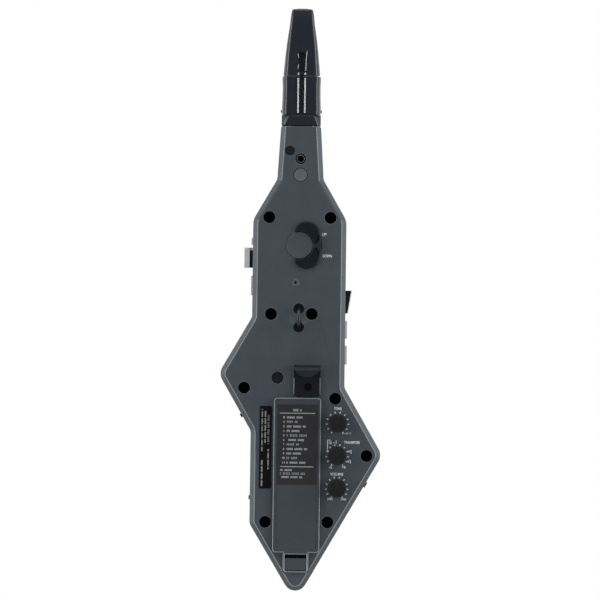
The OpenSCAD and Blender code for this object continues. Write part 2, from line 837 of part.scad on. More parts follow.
module front_case() {
    color("#464e55") difference() {
        union() {
            front_skin();
            for (p = screws) {
                rod_y(p[0], p[1], boss_r, post_end, front_inner + eps);
                rod_y(p[0], p[1], shoulder_boss_r, board_front, front_inner + eps);
            }
        }
        for (p = screws) rod_y(p[0], p[1], screw_r + thread_fit, post_end - eps, post_end + screw_len);
        for (p = stems) rod_y(p[0], p[1], key_stem_r + gap, front_inner - eps, case_d + eps);
        for (k = edge_keys)
            translate([k[0] * body_half_w, edge_key_y, k[1]])
                cube([4 * wall, edge_key_d + 2 * gap, k[2] + 2 * gap], center = true);
        // speaker opening and the grille's seat
        rod_y(speaker_x, speaker_z, speaker_r - speaker_lip, front_inner - eps, case_d + eps);
        rod_y(speaker_x, speaker_z, grille_r + seat_fit, case_d - grille_t, case_d + eps);
        tenon_hole();
    }
}

module case_screws() {
    color("#2b2d30") for (p = screws) screw(p[0], p[1], well_depth, screw_head_r, screw_head_h, screw_len);
}

// closes one of the wells
module screw_plug() {
    p = screws[4];
    color("#2a2d31") rod_y(p[0], p[1], well_r - seat_fit, well_plug_y, well_plug_y + well_plug_t);
}

// a cross-head screw with its head on the plane y
module screw(x, z, y, head_r, head_h, len) {
    difference() {
        union() {
            rod_y(x, z, head_r, y - head_h, y);
            rod_y(x, z, screw_r, y - eps, y + len);
        }
        for (a = [0, 90])
            translate([x, y - head_h, z]) rotate([0, a, 0])
                cube([head_r * 1.2, head_h, head_r * 0.3], center = true);
    }
}

// Neck

module neck_screw() {
    len = neck_axis_y - pipe_r - neck_seat - 1;
    color("#8a8d90") screw(0, neck_screw_z, neck_seat, screw_head_r, screw_head_h, len);
}

module neck_cap() {
    bowl = 18;
    color("#6a7178") difference() {
        rod_y(0, cap_z, cap_r, -0.2, cap_seat);
        translate([0, 0.6 - bowl, cap_z]) sphere(r = bowl, $fn = 240);
    }
}

module drain_plug() {
    color("#15171a") {
        rod_y(plug_x, plug_z, plug_r, -0.3, cap_seat);
        rod_y(plug_x, plug_z, plug_r - 1.1, cap_seat - eps, wall + 1.5);
    }
}

module neck_tenon() {
    color("#26292d") difference() {
        union() {
            rod_z(0, neck_axis_y, tenon_r, tenon_low_z, tenon_top_z);
            rod_z(0, neck_axis_y, tenon_flange_r, tenon_low_z, neck_top_z - wall);
            rod_z(0, neck_axis_y, pipe_r + 3, neck_screw_z, tenon_low_z + eps);
            block(
                [-block_half_w, block_y, block_low_z],
                [block_half_w, neck_axis_y + pipe_r + 2, neck_screw_z + block_half_h]
            );
            rod_z(0, neck_axis_y, nipple_r, block_low_z - nipple_len, block_low_z + eps);
        }
        rod_z(0, neck_axis_y, pipe_r, block_low_z - nipple_len - eps, tenon_top_z + eps);
        rod_z(0, neck_axis_y, pipe_r + 2, tenon_low_z + tenon_flange_t, tenon_top_z + eps);
        rod_y(0, neck_screw_z, screw_r + thread_fit, block_y - eps, neck_axis_y - pipe_r - 0.7);
        // groove of the seal
        translate([0, neck_axis_y, seal_z - seal_t / 2 - 0.05]) difference() {
            cylinder(r = tenon_r + eps, h = seal_t + 0.1);
            translate([0, 0, -eps]) cylinder(r = tenon_r - seal_t, h = seal_t + 2 * eps);
        }
    }
}

module tenon_seal() {
    color("#7a3b30") translate([0, neck_axis_y, seal_z - seal_t / 2]) difference() {
        cylinder(r = tenon_r - 0.02, h = seal_t);
        translate([0, 0, -eps]) cylinder(r = tenon_r - seal_t, h = seal_t + 2 * eps);
    }
}

module breath_tube() {
    color("#d8dadc") difference() {
        rod_z(0, neck_axis_y, nipple_r + tube_wall, sensor_top_z + 1, block_low_z - 1);
        rod_z(0, neck_axis_y, nipple_r + 0.05, sensor_top_z, block_low_z);
    }
}

module breath_sensor() {
    color("#1c1f22") difference() {
        union() {
            block([-8, neck_axis_y - 7, sensor_z], [8, board_y, sensor_top_z]);
            rod_z(0, neck_axis_y, nipple_r, sensor_top_z - eps, sensor_top_z + nipple_len);
        }
        rod_z(0, neck_axis_y, pipe_r - 1, sensor_top_z - 4, sensor_top_z + nipple_len + eps);
    }
}

// Mouthpiece

function mix(a, b, t) = a + (b - a) * t;

// one ring of the mouthpiece: height, half width, half depth, centre depth and squareness
function mouth_ring(z, w, d, y, power) = [
    for (i = [0:31])
        let (a = 360 * i / 32, c = cos(a), s = sin(a))
        [
            w * sign(c) * pow(abs(c), power),
            neck_axis_y + y + d * sign(s) * pow(abs(s), power),
            z,
        ]
];

module mouth_body() {
    barrel = beak_z - mouth_base_z;
    beak = mouth_tip_z - beak_z;
    beak_half_d = barrel_half_d - 1.6;
    loft(concat(
        [
            mouth_ring(mouth_base_z, barrel_half_w - 0.9, barrel_half_d - 0.9, 0, 0.72),
            mouth_ring(mouth_base_z + 1, barrel_half_w - 0.1, barrel_half_d - 0.1, 0, 0.72),
            mouth_ring(mouth_base_z + barrel * 0.25, barrel_half_w, barrel_half_d, 0, 0.74),
            mouth_ring(mouth_base_z + barrel * 0.6, barrel_half_w - 0.5, barrel_half_d - 0.3, 0, 0.78),
            mouth_ring(beak_z - 1.2, barrel_half_w - 0.2, barrel_half_d - 0.2, 0, 0.8),
            mouth_ring(beak_z, barrel_half_w - 1, barrel_half_d - 1, 0, 0.8),
            mouth_ring(beak_z + 0.6, beak_half_w, beak_half_d, 0, 0.82),
        ],
        [
            for (k = [1:7])
                let (
                    t = k / 7,
                    w = mix(beak_half_w, mouth_tip_half_w + 0.6, pow(t, 1.2)),
                    rear = mix(beak_half_d, tip_back + mouth_tip_t / 2, t),
                    front = mix(beak_half_d, mouth_tip_t / 2 - tip_back, pow(t, 0.85))
                )
                mouth_ring(
                    beak_z + (beak - 3) * t, w, (front + rear) / 2, (front - rear) / 2, mix(0.82, 0.6, t)
                )
        ],
        [
            mouth_ring(mouth_tip_z - 1, mouth_tip_half_w, mouth_tip_t / 2 - 0.3, -tip_back, 0.6),
            mouth_ring(mouth_tip_z, mouth_tip_half_w - 1, mouth_tip_t / 2 - 1.1, -tip_back, 0.6),
        ]
    ));
}

module mouthpiece() {
    slot_low_z = mix(beak_z, mouth_tip_z, 0.55);
    slot_start = slot_low_z - beak_z - 6;
    slot_end = mouth_tip_z - beak_z + 2;
    lean = atan2(tip_back, mouth_tip_z - beak_z);
    groove_w = 5.5;
    color("#14171b") difference() {
        union() {
            mouth_body();
            for (s = [-1, 1]) rod_x(s * (barrel_half_w - 1), neck_axis_y, mouth_base_z + 11.5, 1.3, s * 1.6);
        }
        rod_z(0, neck_axis_y, tenon_r + tenon_fit, mouth_base_z - eps, tenon_top_z + 0.4);
        rod_z(0, neck_axis_y, breath_r, tenon_top_z, beak_z + 4);
        // passage that leans back to the tip
        translate([0, neck_axis_y, beak_z + 2]) rotate([lean, 0, 0]) {
            cylinder(r = breath_r * 0.7, h = slot_low_z - beak_z + 2);
            translate([-tip_slot_w / 2, -tip_slot_t / 2, slot_start])
                cube([tip_slot_w, tip_slot_t, slot_end - slot_start]);
        }
        // groove down the rear of the barrel
        translate([-groove_w / 2, neck_axis_y - barrel_half_d - 1, mouth_base_z + 9])
            cube([groove_w, 2, beak_z - mouth_base_z - 11]);
    }
}

// Thumb rest and octave keys

module thumb_rest() {
    bowl = 60;
    color("#4a5259") difference() {
        rod_y(0, rest_z, rest_r, -0.8, rest_seat);
        translate([0, 0.2 - bowl, rest_z]) sphere(r = bowl, $fn = 240);
    }
}

module octave_key(side) {
    flange_y = wall + gap;
    along_y(-octave_proud, flange_y + flange_t) octave_outline(side, 0);
    along_y(flange_y, flange_y + flange_t) octave_outline(side, 1.2);
    rod_y(octave_stem[0], rest_z + side * octave_stem[1], 2, flange_y, octave_stem_end);
}

module octave_up_key() color("#14181f") octave_key(1);
module octave_down_key() color("#14181f") octave_key(-1);

// Strap ring, hook and labels

module strap_ring() {
    color("#3a3c40") {
        rotate([0, 90, 0]) rotate([0, 0, 180])
            rotate_extrude(angle = 180) translate([ring_leg, 0]) circle(ring_wire_r);
        for (s = [-1, 1]) rod_y(0, s * ring_leg, ring_wire_r, 0, ring_well_depth + 4);
    }
}

// plan of the hook's base, with chamfered lower corners
module hook_plan(grow) {
    w = hook_w / 2 + grow;
    top = hook_top_z + grow;
    low = hook_top_z - hook_len - grow;
    cut = 2;
    polygon([
        [hook_x - w, top], [hook_x - w, low + cut], [hook_x - w + cut, low],
        [hook_x + w - cut, low], [hook_x + w, low + cut], [hook_x + w, top],
    ]);
}

module thumb_hook() {
    drop = 9.3;
    out = -hook_reach;
    // the free end is rounded off by an arc
    visor_r = 11.2;
    visor_up = 2;
    color("#0d0f12") difference() {
        union() {
            along_y(-hook_base_t, hook_pocket) hook_plan(0);
            intersection() {
                translate([hook_x - hook_w / 2, 0, hook_top_z])
                    rotate([90, 0, 90]) linear_extrude(hook_w) polygon([
                    [0, 0], [out * 0.75, -0.6], [out * 0.92, -1.6], [out, -4],
                    [out, -drop], [out + hook_t * 0.8, -drop],
                    [out + hook_t, -5.2], [out + hook_t + 1.4, -hook_t - 1.2],
                    [-hook_base_t - 2.5, -hook_t - 0.8], [-hook_base_t, -hook_t - 3.4], [0, -hook_t - 3.4],
                ]);
                along_y(out - eps, eps) translate([hook_x, hook_top_z + visor_up]) circle(visor_r);
            }
        }
        rod_y(hook_screw_x, hook_screw_z, screw_head_r - 0.2, -hook_base_t - eps, hook_seat);
        rod_y(hook_screw_x, hook_screw_z, screw_r + shank_gap, hook_seat - eps, hook_pocket + eps);
    }
}

module hook_screw()
    color("#1b1d20") screw(hook_screw_x, hook_screw_z, hook_seat, screw_head_r - 0.6, 1.2, hook_boss_y - 2);

module rating_plate() {
    color("#0c0d0f") along_y(-label_t, 0)
        round_rect(plate_x, plate_top_z - plate_len / 2, plate_w, plate_len, 1.2);
}

module tone_label() {
    color("#2c2c30") along_y(-door_proud - label_t, -door_proud)
        round_rect(0.2, door_top_z - tone_label_drop - tone_label_h / 2, tone_label_w, tone_label_h, 0.4);
}

// Battery bay

module battery_door() {
    mid = (door_top_z + door_bottom_z) / 2;
    rim = 1.6;
    window_low = tab_bottom_z + 1.2;
    color("#4b5359") difference() {
        union() {
            along_y(-door_proud, door_inner_y) round_rect(0, mid, 2 * door_half_w, door_len, door_r);
            along_y(-door_proud, door_inner_y - 0.8) {
                round_rect(0, (door_bottom_z + tab_bottom_z) / 2, 2 * tab_half_w, tab_len, door_r);
                translate([-tab_half_w, door_bottom_z - door_r]) square([2 * tab_half_w, 2 * door_r]);
            }
        }
        // hollow over the cells
        block(
            [-door_half_w + rim, -door_proud + door_t, door_bottom_z + rim],
            [door_half_w - rim, door_inner_y + eps, door_top_z - rim]
        );
        // frame groove
        along_y(-door_proud - eps, -door_proud + frame_depth) difference() {
            w = 2 * (door_half_w - frame_in);
            h = door_len - 2 * frame_in;
            round_rect(0, mid, w, h, door_r);
            round_rect(0, mid, w - 2 * frame_w, h - 2 * frame_w, door_r - frame_w);
        }
        // window of the latch, and the wider guide behind it
        block([-latch_half_w - gap, -door_proud - eps, window_low], [latch_half_w + gap, case_d, window_top]);
        guide = latch_half_w + latch_lip + gap;
        block([-guide, latch_guide_y - gap, window_low - 0.6], [guide, case_d, window_top + 0.6]);
    }
}

module battery_latch() {
    color("#4b5359") {
        block([-latch_half_w, -door_proud + 0.2, latch_low], [latch_half_w, latch_guide_y + 1, latch_top]);
        block(
            [-latch_half_w - latch_lip, latch_guide_y, latch_low],
            [latch_half_w + latch_lip, latch_guide_y + 1.4, latch_top]
        );
        // nose that reaches in behind the case's edge
        block(
            [-latch_half_w + 2, latch_guide_y, latch_low],
            [latch_half_w - 2, door_inner_y - 0.2, latch_low + 2]
        );
    }
}

function cell_low(row) =
    row == 0 ? bay_top_z - contact_t - contact_h - cell_len : bay_top_z - bay_len + contact_t + contact_h;

module battery_cells() {
    button_len = 1;
    color("#3e7a5a") for (c = cells) {
        x = c[0] * (cell_r + 0.15);
        low = cell_low(c[1]);
        up = c[2] > 0;
        rod_z(x, cell_y, cell_r, low + (up ? 0 : button_len), low + cell_len - (up ? button_len : 0));
        rod_z(x, cell_y, 2.75, low, low + cell_len);
    }
}

module battery_contacts() {
    plate = 5.4;
    // each plate faces one end of a cell
    plates = [
        [bay_top_z, -1], [bay_mid_z + rib_t / 2, 1], [bay_mid_z - rib_t / 2, -1], [bay_top_z - bay_len, 1],
    ];
    color("#c9ccd0") for (s = [-1, 1], p = plates) {
        x = s * (cell_r + 0.15);
        tip = p[0] + p[1] * (contact_t + contact_h);
        back = p[0] + p[1] * contact_t;
        block([x - plate, cell_y - plate, min(p[0], back)], [x + plate, cell_y + plate, max(p[0], back)]);
        rod_z(x, cell_y, 2.4, min(p[0], tip), max(p[0], tip));
    }
}

// Knobs

module knob(i) {
    z = knob_top_z - i * knob_pitch;
    flutes = 24;
    flute_r = 0.6;
    flute_at = knob_r + 0.25;
    crown = 0.8;
    lift = 0.4;
    color("#101317") difference() {
        union() {
            rod_y(knob_x, z, knob_r, -knob_h + crown, -lift);
            rod_y(knob_x, z, knob_r - crown, -knob_h, -1);
            rod_y(knob_x, z, knob_stem_r, -1, rotary_floor_y - gap);
        }
        for (k = [0:flutes - 1])
            let (a = 360 * k / flutes)
            rod_y(knob_x + flute_at * cos(a), z + flute_at * sin(a), flute_r, -knob_h - eps, -2);
        // pointer
        block([knob_x - 0.4, -knob_h - eps, z + 1], [knob_x + 0.4, -knob_h + 0.3, z + knob_r + eps]);
    }
}

module tone_knob() knob(0);
module transpose_knob() knob(1);
module volume_knob() knob(2);

module rotary_switches() {
    half = rotary_w / 2;
    color("#2f3a34") for (i = [0:2])
        let (z = knob_top_z - i * knob_pitch)
        difference() {
            block([knob_x - half, rotary_y, z - half], [knob_x + half, rotary_y + rotary_h, z + half]);
            rod_y(knob_x, z, knob_stem_r + knob_fit, rotary_y - eps, rotary_floor_y);
        }
}

// Edge keys

// flange behind the wall and the plunger that meets the switch
module edge_key_back(k) {
    s = k[0];
    r = 2;
    w = edge_key_d / 2 + flange_w;
    outer = edge_inner_x + flange_t;
    block(
        [min(s * edge_inner_x, s * outer), edge_key_y - w, k[1] - k[2] / 2],
        [max(s * edge_inner_x, s * outer), edge_key_y + w, k[1] + k[2] / 2]
    );
    rod_x(s * edge_plunger_x, edge_key_y, k[1], r, s * (edge_inner_x - edge_plunger_x + eps));
}

// a straight key whose face stands proud of the case
module flat_edge_key(k, proud) {
    s = k[0];
    block(
        [min(s * edge_inner_x, s * (body_half_w + proud)), edge_key_y - edge_key_d / 2, k[1] - k[2] / 2],
        [max(s * edge_inner_x, s * (body_half_w + proud)), edge_key_y + edge_key_d / 2, k[1] + k[2] / 2]
    );
    edge_key_back(k);
}

module palm_key_upper() color("#c4c7ca") flat_edge_key(edge_keys[0], palm_flat_proud);

module palm_key_middle() {
    k = edge_keys[1];
    low_x = -body_half_w - palm_2_proud;
    color("#c4c7ca") {
        block(
            [low_x, edge_key_y - edge_key_d / 2 - 1, k[1] - k[2] / 2],
            [low_x + palm_cap_t, edge_key_y + edge_key_d / 2 + 1, k[1] + k[2] / 2]
        );
        block(
            [low_x + palm_cap_t - eps, edge_key_y - edge_key_d / 2, k[1] - k[2] / 2],
            [-edge_inner_x, edge_key_y + edge_key_d / 2, k[1] + k[2] / 2]
        );
        edge_key_back(k);
    }
}

module palm_key_lower() color("#c4c7ca") flat_edge_key(edge_keys[2], palm_flat_proud);

// the upper side key stands out more at its top than at its bottom
module side_key_upper() {
    k = edge_keys[3];
    low_out = body_half_w + side_1_proud - side_1_lean;
    color("#101216") {
        along_y(edge_key_y - edge_key_d / 2, edge_key_y + edge_key_d / 2) polygon([
            [edge_inner_x, k[1] - k[2] / 2],
            [low_out, k[1] - k[2] / 2],
            [body_half_w + side_1_proud, k[1] + k[2] / 2],
            [edge_inner_x, k[1] + k[2] / 2],
        ]);
        edge_key_back(k);
    }
}

module side_key_middle() color("#c4c7ca") flat_edge_key(edge_keys[4], side_flat_proud);
module side_key_lower() color("#c4c7ca") flat_edge_key(edge_keys[5], side_flat_proud);

// Finger keys

module key_stem(x, z) {
    rod_y(x, z, key_stem_r, stem_end_y, cap_y + eps);
    rod_y(x, z, key_stem_r + flange_w, front_inner - gap - flange_t, front_inner - gap);
}

module round_key(p, r) {
    bowl = 3.2 * r;
    color("#d6d8da") {
        difference() {
            union() {
                rod_y(p[0], p[1], r - 0.5, cap_y, cap_top_y);
                rod_y(p[0], p[1], r, cap_y + 0.5, cap_top_y - 0.5);
            }
            translate([p[0], cap_top_y - 0.8 + bowl, p[1]]) sphere(r = bowl, $fn = 240);
        }
        key_stem(p[0], p[1]);
    }
}

module bar_key(p, stem_dx) {
    color("#2b2f34") {
        along_y(cap_y, cap_top_y - 0.6) round_rect(p[0], p[1], bar_w, bar_h, 2.5);
        along_y(cap_top_y - 0.7, cap_top_y) round_rect(p[0], p[1], bar_w - 1.2, bar_h - 1.2, 1.9);
        key_stem(p[0] + stem_dx, p[1]);
    }
}

module front_f_key() round_key(small_keys[0], small_key_r);
module bis_key() round_key(small_keys[1], small_key_r);
module b_key() round_key(main_keys[0], main_key_r);
module a_key() round_key(main_keys[1], main_key_r);
module g_key() round_key(main_keys[2], main_key_r);
module f_key() round_key(main_keys[3], main_key_r);
module e_key() round_key(main_keys[4], main_key_r);
module d_key() round_key(main_keys[5], main_key_r);
module g_sharp_key() bar_key(left_bars[0], bar_stem_dx);
module c_sharp_key() bar_key(left_bars[1], bar_stem_dx);
module low_b_key() bar_key(left_bars[2], bar_stem_dx);
module low_b_flat_key() bar_key(left_bars[3], bar_stem_dx);
module e_flat_key() bar_key(right_bars[0], -bar_stem_dx);
module low_c_key() bar_key(right_bars[1], -bar_stem_dx);

// Inside the case

module main_board() {
    color("#1f5a3a") along_y(board_y, board_front) difference() {
        intersection() {
            polygon(outline(board_inset));
            translate([-wing_right_x, tip_z]) square([2 * wing_right_x, board_top_z - tip_z]);
        }
        for (p = screws) translate(p) circle(boss_r + gap);
    }
}

module key_mats() {
    color("#3b3e42") for (p = stems) rod_y(p[0], p[1], key_stem_r + 1, board_front, board_front + mat_t);
}

module key_switches() {
    depth = 6;
    color("#202326") {
        for (k = edge_keys) {
            face = edge_plunger_x - k[3] - gap;
            x0 = k[0] * face;
            x1 = k[0] * (face - depth);
            block([min(x0, x1), board_front, k[1] - 2.4], [max(x0, x1), edge_key_y + 3, k[1] + 2.4]);
        }
        for (side = [-1, 1])
            rod_y(octave_stem[0], rest_z + side * octave_stem[1], 3, board_y - switch_h, board_y);
    }
}

module speaker_driver() {
    rim_t = 2;
    magnet_r = 9;
    color("#1a1c1f") {
        rod_y(speaker_x, speaker_z, speaker_r, front_inner - rim_t, front_inner);
        translate([speaker_x, front_inner - speaker_d, speaker_z]) rotate([-90, 0, 0])
            cylinder(r1 = magnet_r, r2 = speaker_r - 2, h = speaker_d - rim_t + 0.2);
    }
}

module speaker_grille() {
    rings = floor((speaker_r - 3) / grille_pitch);
    color("#101215") difference() {
        rod_y(speaker_x, speaker_z, grille_r, case_d - grille_t, case_d);
        for (k = [0:rings], i = [0:max(6 * k, 1) - 1])
            let (a = 60 * i / max(k, 1), r = k * grille_pitch)
            translate([r * cos(a), 0, r * sin(a)])
                rod_y(speaker_x, speaker_z, grille_hole_r, case_d - grille_t - eps, case_d + eps);
    }
}

module phones_jack() {
    color("#0f1114") at_jack() difference() {
        union() {
            translate([-jack_bore_len - 2, -jack_half_w, -jack_half_w])
                cube([jack_bore_len + 2 - wall, board_y - socket_y + jack_half_w, 2 * jack_half_w]);
            translate([-wall - eps, 0, 0]) rotate([0, 90, 0])
                cylinder(r = jack_bush_r, h = wall + eps + jack_rim);
        }
        translate([jack_rim - jack_bore_len, 0, 0]) rotate([0, 90, 0])
            cylinder(r = jack_bore_r, h = jack_bore_len + eps);
    }
}

module usb_socket() {
    depth = 8;
    shell = 0.4;
    color("#b9bcc0") at_usb() difference() {
        translate([-depth, -usb_d / 2, -usb_t / 2]) cube([depth + usb_rim, usb_d, usb_t]);
        translate([-depth + 1, -usb_d / 2 + shell, -usb_t / 2 + shell])
            cube([depth + usb_rim, usb_d - 2 * shell, usb_t - 2 * shell]);
    }
}

module power_switch_body() {
    color("#b0b3b7") at_switch() translate([0, 0, switch_travel / 2]) difference() {
        translate([-wall - 6, -4, -switch_body_l / 2]) cube([6, board_y - socket_y + 4, switch_body_l]);
        translate([-wall - 3, -switch_knob_d / 2 - gap, -(switch_knob_l + switch_travel) / 2 - gap])
            cube([3 + eps, switch_knob_d + 2 * gap, switch_knob_l + switch_travel + 2 * gap]);
    }
}

module power_switch() {
    color("#0b0d10") at_switch()
        translate([-wall - 2.6, -switch_knob_d / 2, -switch_knob_l / 2])
            cube([wall + 2.6 + 1.4, switch_knob_d, switch_knob_l]);
}

rear_case();
front_case();
case_screws();
screw_plug();
neck_screw();
neck_cap();
drain_plug();
neck_tenon();
tenon_seal();
breath_tube();
breath_sensor();
mouthpiece();
thumb_rest();
octave_up_key();
octave_down_key();
strap_ring();
thumb_hook();
hook_screw();
rating_plate();
tone_label();
battery_door();
battery_latch();
battery_cells();
battery_contacts();
tone_knob();
transpose_knob();
volume_knob();
rotary_switches();
palm_key_upper();
palm_key_middle();
palm_key_lower();
side_key_upper();
side_key_middle();
side_key_lower();
front_f_key();
bis_key();
b_key();
a_key();
g_key();
f_key();
e_key();
d_key();
g_sharp_key();
c_sharp_key();
low_b_key();
low_b_flat_key();
e_flat_key();
low_c_key();
main_board();
key_mats();
key_switches();
speaker_driver();
speaker_grille();
phones_jack();
usb_socket();
power_switch_body();
power_switch();
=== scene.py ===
import json
import math

import bpy
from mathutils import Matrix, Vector


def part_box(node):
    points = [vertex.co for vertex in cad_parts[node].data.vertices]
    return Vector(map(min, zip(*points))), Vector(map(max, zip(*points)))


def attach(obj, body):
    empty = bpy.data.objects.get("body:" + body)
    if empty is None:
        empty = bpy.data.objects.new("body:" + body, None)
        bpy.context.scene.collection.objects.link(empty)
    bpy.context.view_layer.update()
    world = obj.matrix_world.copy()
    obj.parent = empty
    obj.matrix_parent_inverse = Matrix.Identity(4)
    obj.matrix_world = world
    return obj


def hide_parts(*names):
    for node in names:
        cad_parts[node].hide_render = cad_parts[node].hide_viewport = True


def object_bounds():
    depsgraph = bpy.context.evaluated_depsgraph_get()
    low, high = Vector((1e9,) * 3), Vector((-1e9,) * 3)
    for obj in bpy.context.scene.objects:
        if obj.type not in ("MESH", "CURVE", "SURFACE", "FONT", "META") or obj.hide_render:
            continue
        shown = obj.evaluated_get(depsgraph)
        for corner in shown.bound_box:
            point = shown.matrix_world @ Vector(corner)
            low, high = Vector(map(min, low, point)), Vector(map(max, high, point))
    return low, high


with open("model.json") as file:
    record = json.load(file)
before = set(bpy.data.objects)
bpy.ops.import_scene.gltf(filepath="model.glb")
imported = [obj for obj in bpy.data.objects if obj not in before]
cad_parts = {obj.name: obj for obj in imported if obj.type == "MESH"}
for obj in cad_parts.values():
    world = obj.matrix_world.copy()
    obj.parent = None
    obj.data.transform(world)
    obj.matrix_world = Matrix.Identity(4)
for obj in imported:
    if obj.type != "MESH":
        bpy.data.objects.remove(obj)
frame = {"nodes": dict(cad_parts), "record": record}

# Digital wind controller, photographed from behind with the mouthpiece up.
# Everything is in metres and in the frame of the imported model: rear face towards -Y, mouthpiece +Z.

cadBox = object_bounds()
scene = bpy.context.scene
record = frame["record"]
nodes = frame["nodes"]
bodyOf = {node: body for body, names in record["behaviour"]["bodies"].items() for node in names}
slotOf = {part["node"]: part["material_slot"] for part in record["subparts"]}
mm = 0.001
# places closer than this are one place, and points closer than the second distance are merged
touching = 0.05 * mm
mergeDistance = 0.002 * mm
# degrees up to which an edge is shaded smooth
smoothAngle = 34
# a face looks along an axis when its normal has more than this share along it
faceOn = 0.9
print("frame loaded:", len(nodes), "nodes")


# Small helpers for objects

def leaveEdit():
    bpy.ops.object.mode_set(mode="OBJECT")


def clearSelection():
    if bpy.context.object and bpy.context.object.mode != "OBJECT":
        leaveEdit()
    bpy.ops.object.select_all(action="DESELECT")


def activate(piece):
    clearSelection()
    piece.select_set(True)
    bpy.context.view_layer.objects.active = piece


def editAll(piece):
    # opens the piece in edit mode with everything selected
    activate(piece)
    bpy.ops.object.mode_set(mode="EDIT")
    bpy.ops.mesh.select_all(action="SELECT")


def bakePlace(piece):
    # the place goes into the mesh and the object stays at the origin
    activate(piece)
    bpy.ops.object.transform_apply(location=True, rotation=True, scale=True)


def applyModifiers(piece):
    activate(piece)
    for modifier in list(piece.modifiers):
        bpy.ops.object.modifier_apply(modifier=modifier.name)


def smoothByAngle(piece, degrees=smoothAngle):
    activate(piece)
    bpy.ops.object.shade_smooth_by_angle(angle=math.radians(degrees))


def joinPieces(pieces, name):
    clearSelection()
    for piece in pieces:
        piece.select_set(True)
    bpy.context.view_layer.objects.active = pieces[0]
    if len(pieces) > 1:
        bpy.ops.object.join()
    joined = bpy.context.object
    joined.name = name
    bakePlace(joined)
    return joined


def middleOf(low, high):
    return [(a + b) / 2 for a, b in zip(low, high)]


def fromAxis(at, middle):
    # distance from the line along Y through this middle
    return math.hypot(at[0] - middle[0], at[2] - middle[2])


def boxPiece(name, low, high):
    # low and high corners in mm
    bpy.ops.mesh.primitive_cube_add(size=1, location=[c * mm for c in middleOf(low, high)])
    piece = bpy.context.object
    piece.name = name
    piece.scale = [(b - a) * mm for a, b in zip(low, high)]
    bakePlace(piece)
    return piece


def rodPiece(name, centre, radius, length, axis, sides=32):
    # centre, radius and length in mm
    turns = {"X": (0, math.radians(90), 0), "Y": (math.radians(90), 0, 0), "Z": (0, 0, 0)}
    bpy.ops.mesh.primitive_cylinder_add(vertices=sides, radius=radius * mm, depth=length * mm,
                                        location=[c * mm for c in centre], rotation=turns[axis])
    piece = bpy.context.object
    piece.name = name
    bakePlace(piece)
    return piece


def cutWith(piece, cutter):
    # takes the cutter out of the piece and removes the cutter
    modifier = piece.modifiers.new("cut", "BOOLEAN")
    modifier.operation = "DIFFERENCE"
    modifier.solver = "EXACT"
    modifier.object = cutter
    applyModifiers(piece)
    bpy.data.objects.remove(cutter)


def bevelEdges(piece, width, segments, degrees):
    # rounds every edge sharper than this angle; the width is in mm
    bevel = piece.modifiers.new("soft edge", "BEVEL")
    bevel.width = width * mm
    bevel.segments = segments
    bevel.limit_method = "ANGLE"
    bevel.angle_limit = math.radians(degrees)
    bevel.miter_outer = "MITER_ARC"
    applyModifiers(piece)


def selectInEdit(piece, kind, test):
    # selects the vertices, edges or faces of the active piece for which the test holds, in edit mode
    bpy.ops.object.mode_set(mode="EDIT")
    bpy.ops.mesh.select_mode(type=kind)
    bpy.ops.mesh.select_all(action="DESELECT")
    leaveEdit()
    mesh = piece.data
    if kind == "VERT":
        for vertex in mesh.vertices:
            vertex.select = test(vertex.co)
    elif kind == "EDGE":
        for edge in mesh.edges:
            edge.select = test(mesh.vertices[edge.vertices[0]].co, mesh.vertices[edge.vertices[1]].co)
    else:
        for face in mesh.polygons:
            face.select = test(face.center, face.normal)
    bpy.ops.object.mode_set(mode="EDIT")


def finishPiece(piece, material, body, replaced=()):
    piece.data.materials.clear()
    piece.data.materials.append(material)
    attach(piece, body)
    if replaced:
        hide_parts(*replaced)


# Materials: each starts from what the real thing is made of

def linearColour(hexCode):
    channels = [int(hexCode[i:i + 2], 16) / 255 for i in (1, 3, 5)]
    return [c / 12.92 if c <= 0.04045 else ((c + 0.055) / 1.055) ** 2.4 for c in channels] + [1.0]


def addNode(tree, kind, inputs=None, **settings):
    # of a mix node's numbered inputs, 0 is the factor, 2 and 3 are its numbers, 6 and 7 its colours
    node = tree.nodes.new("ShaderNode" + kind)
    for key, value in settings.items():
        setattr(node, key, value)
    for key, value in (inputs or {}).items():
        if isinstance(value, bpy.types.NodeSocket):
            tree.links.new(value, node.inputs[key])
        else:
            node.inputs[key].default_value = value
    return node


def perMetre(sizeMm):
    # texture scale that gives spots of about this size
    return 1.0 / (sizeMm * mm)


# sizes of the patterns and width of the painted highlight on edges, in mm
patternSize = {"clouds": 14.0, "waves": 9.0, "hairs": 0.35, "print": 0.5, "tracks": 9.0, "fibre": 3.0,
               "paintedHighlight": 0.5}


def newMaterial(name, roughness, **inputs):
    material = bpy.data.materials.new(name)
    material.use_nodes = True
    tree = material.node_tree
    shader = tree.nodes["Principled BSDF"]
    shader.inputs["Roughness"].default_value = roughness
    for key, value in inputs.items():
        shader.inputs[key.replace("_", " ")].default_value = value
    place = addNode(tree, "TexCoord").outputs["Object"]
    return material, tree, shader, place


def edgeHighlightMask(tree, radius):
    # painted highlight: 1 on edges, convex and hollow alike, 0 on flat faces
    softened = addNode(tree, "Bevel", {"Radius": radius}, samples=6)
    real = addNode(tree, "NewGeometry")
    match = addNode(tree, "VectorMath", {0: softened.outputs[0], 1: real.outputs["Normal"]},
                    operation="DOT_PRODUCT")
    return addNode(tree, "MapRange", {"Value": match.outputs["Value"], "From Min": 1.0,
                                      "From Max": 0.955}).outputs[0]


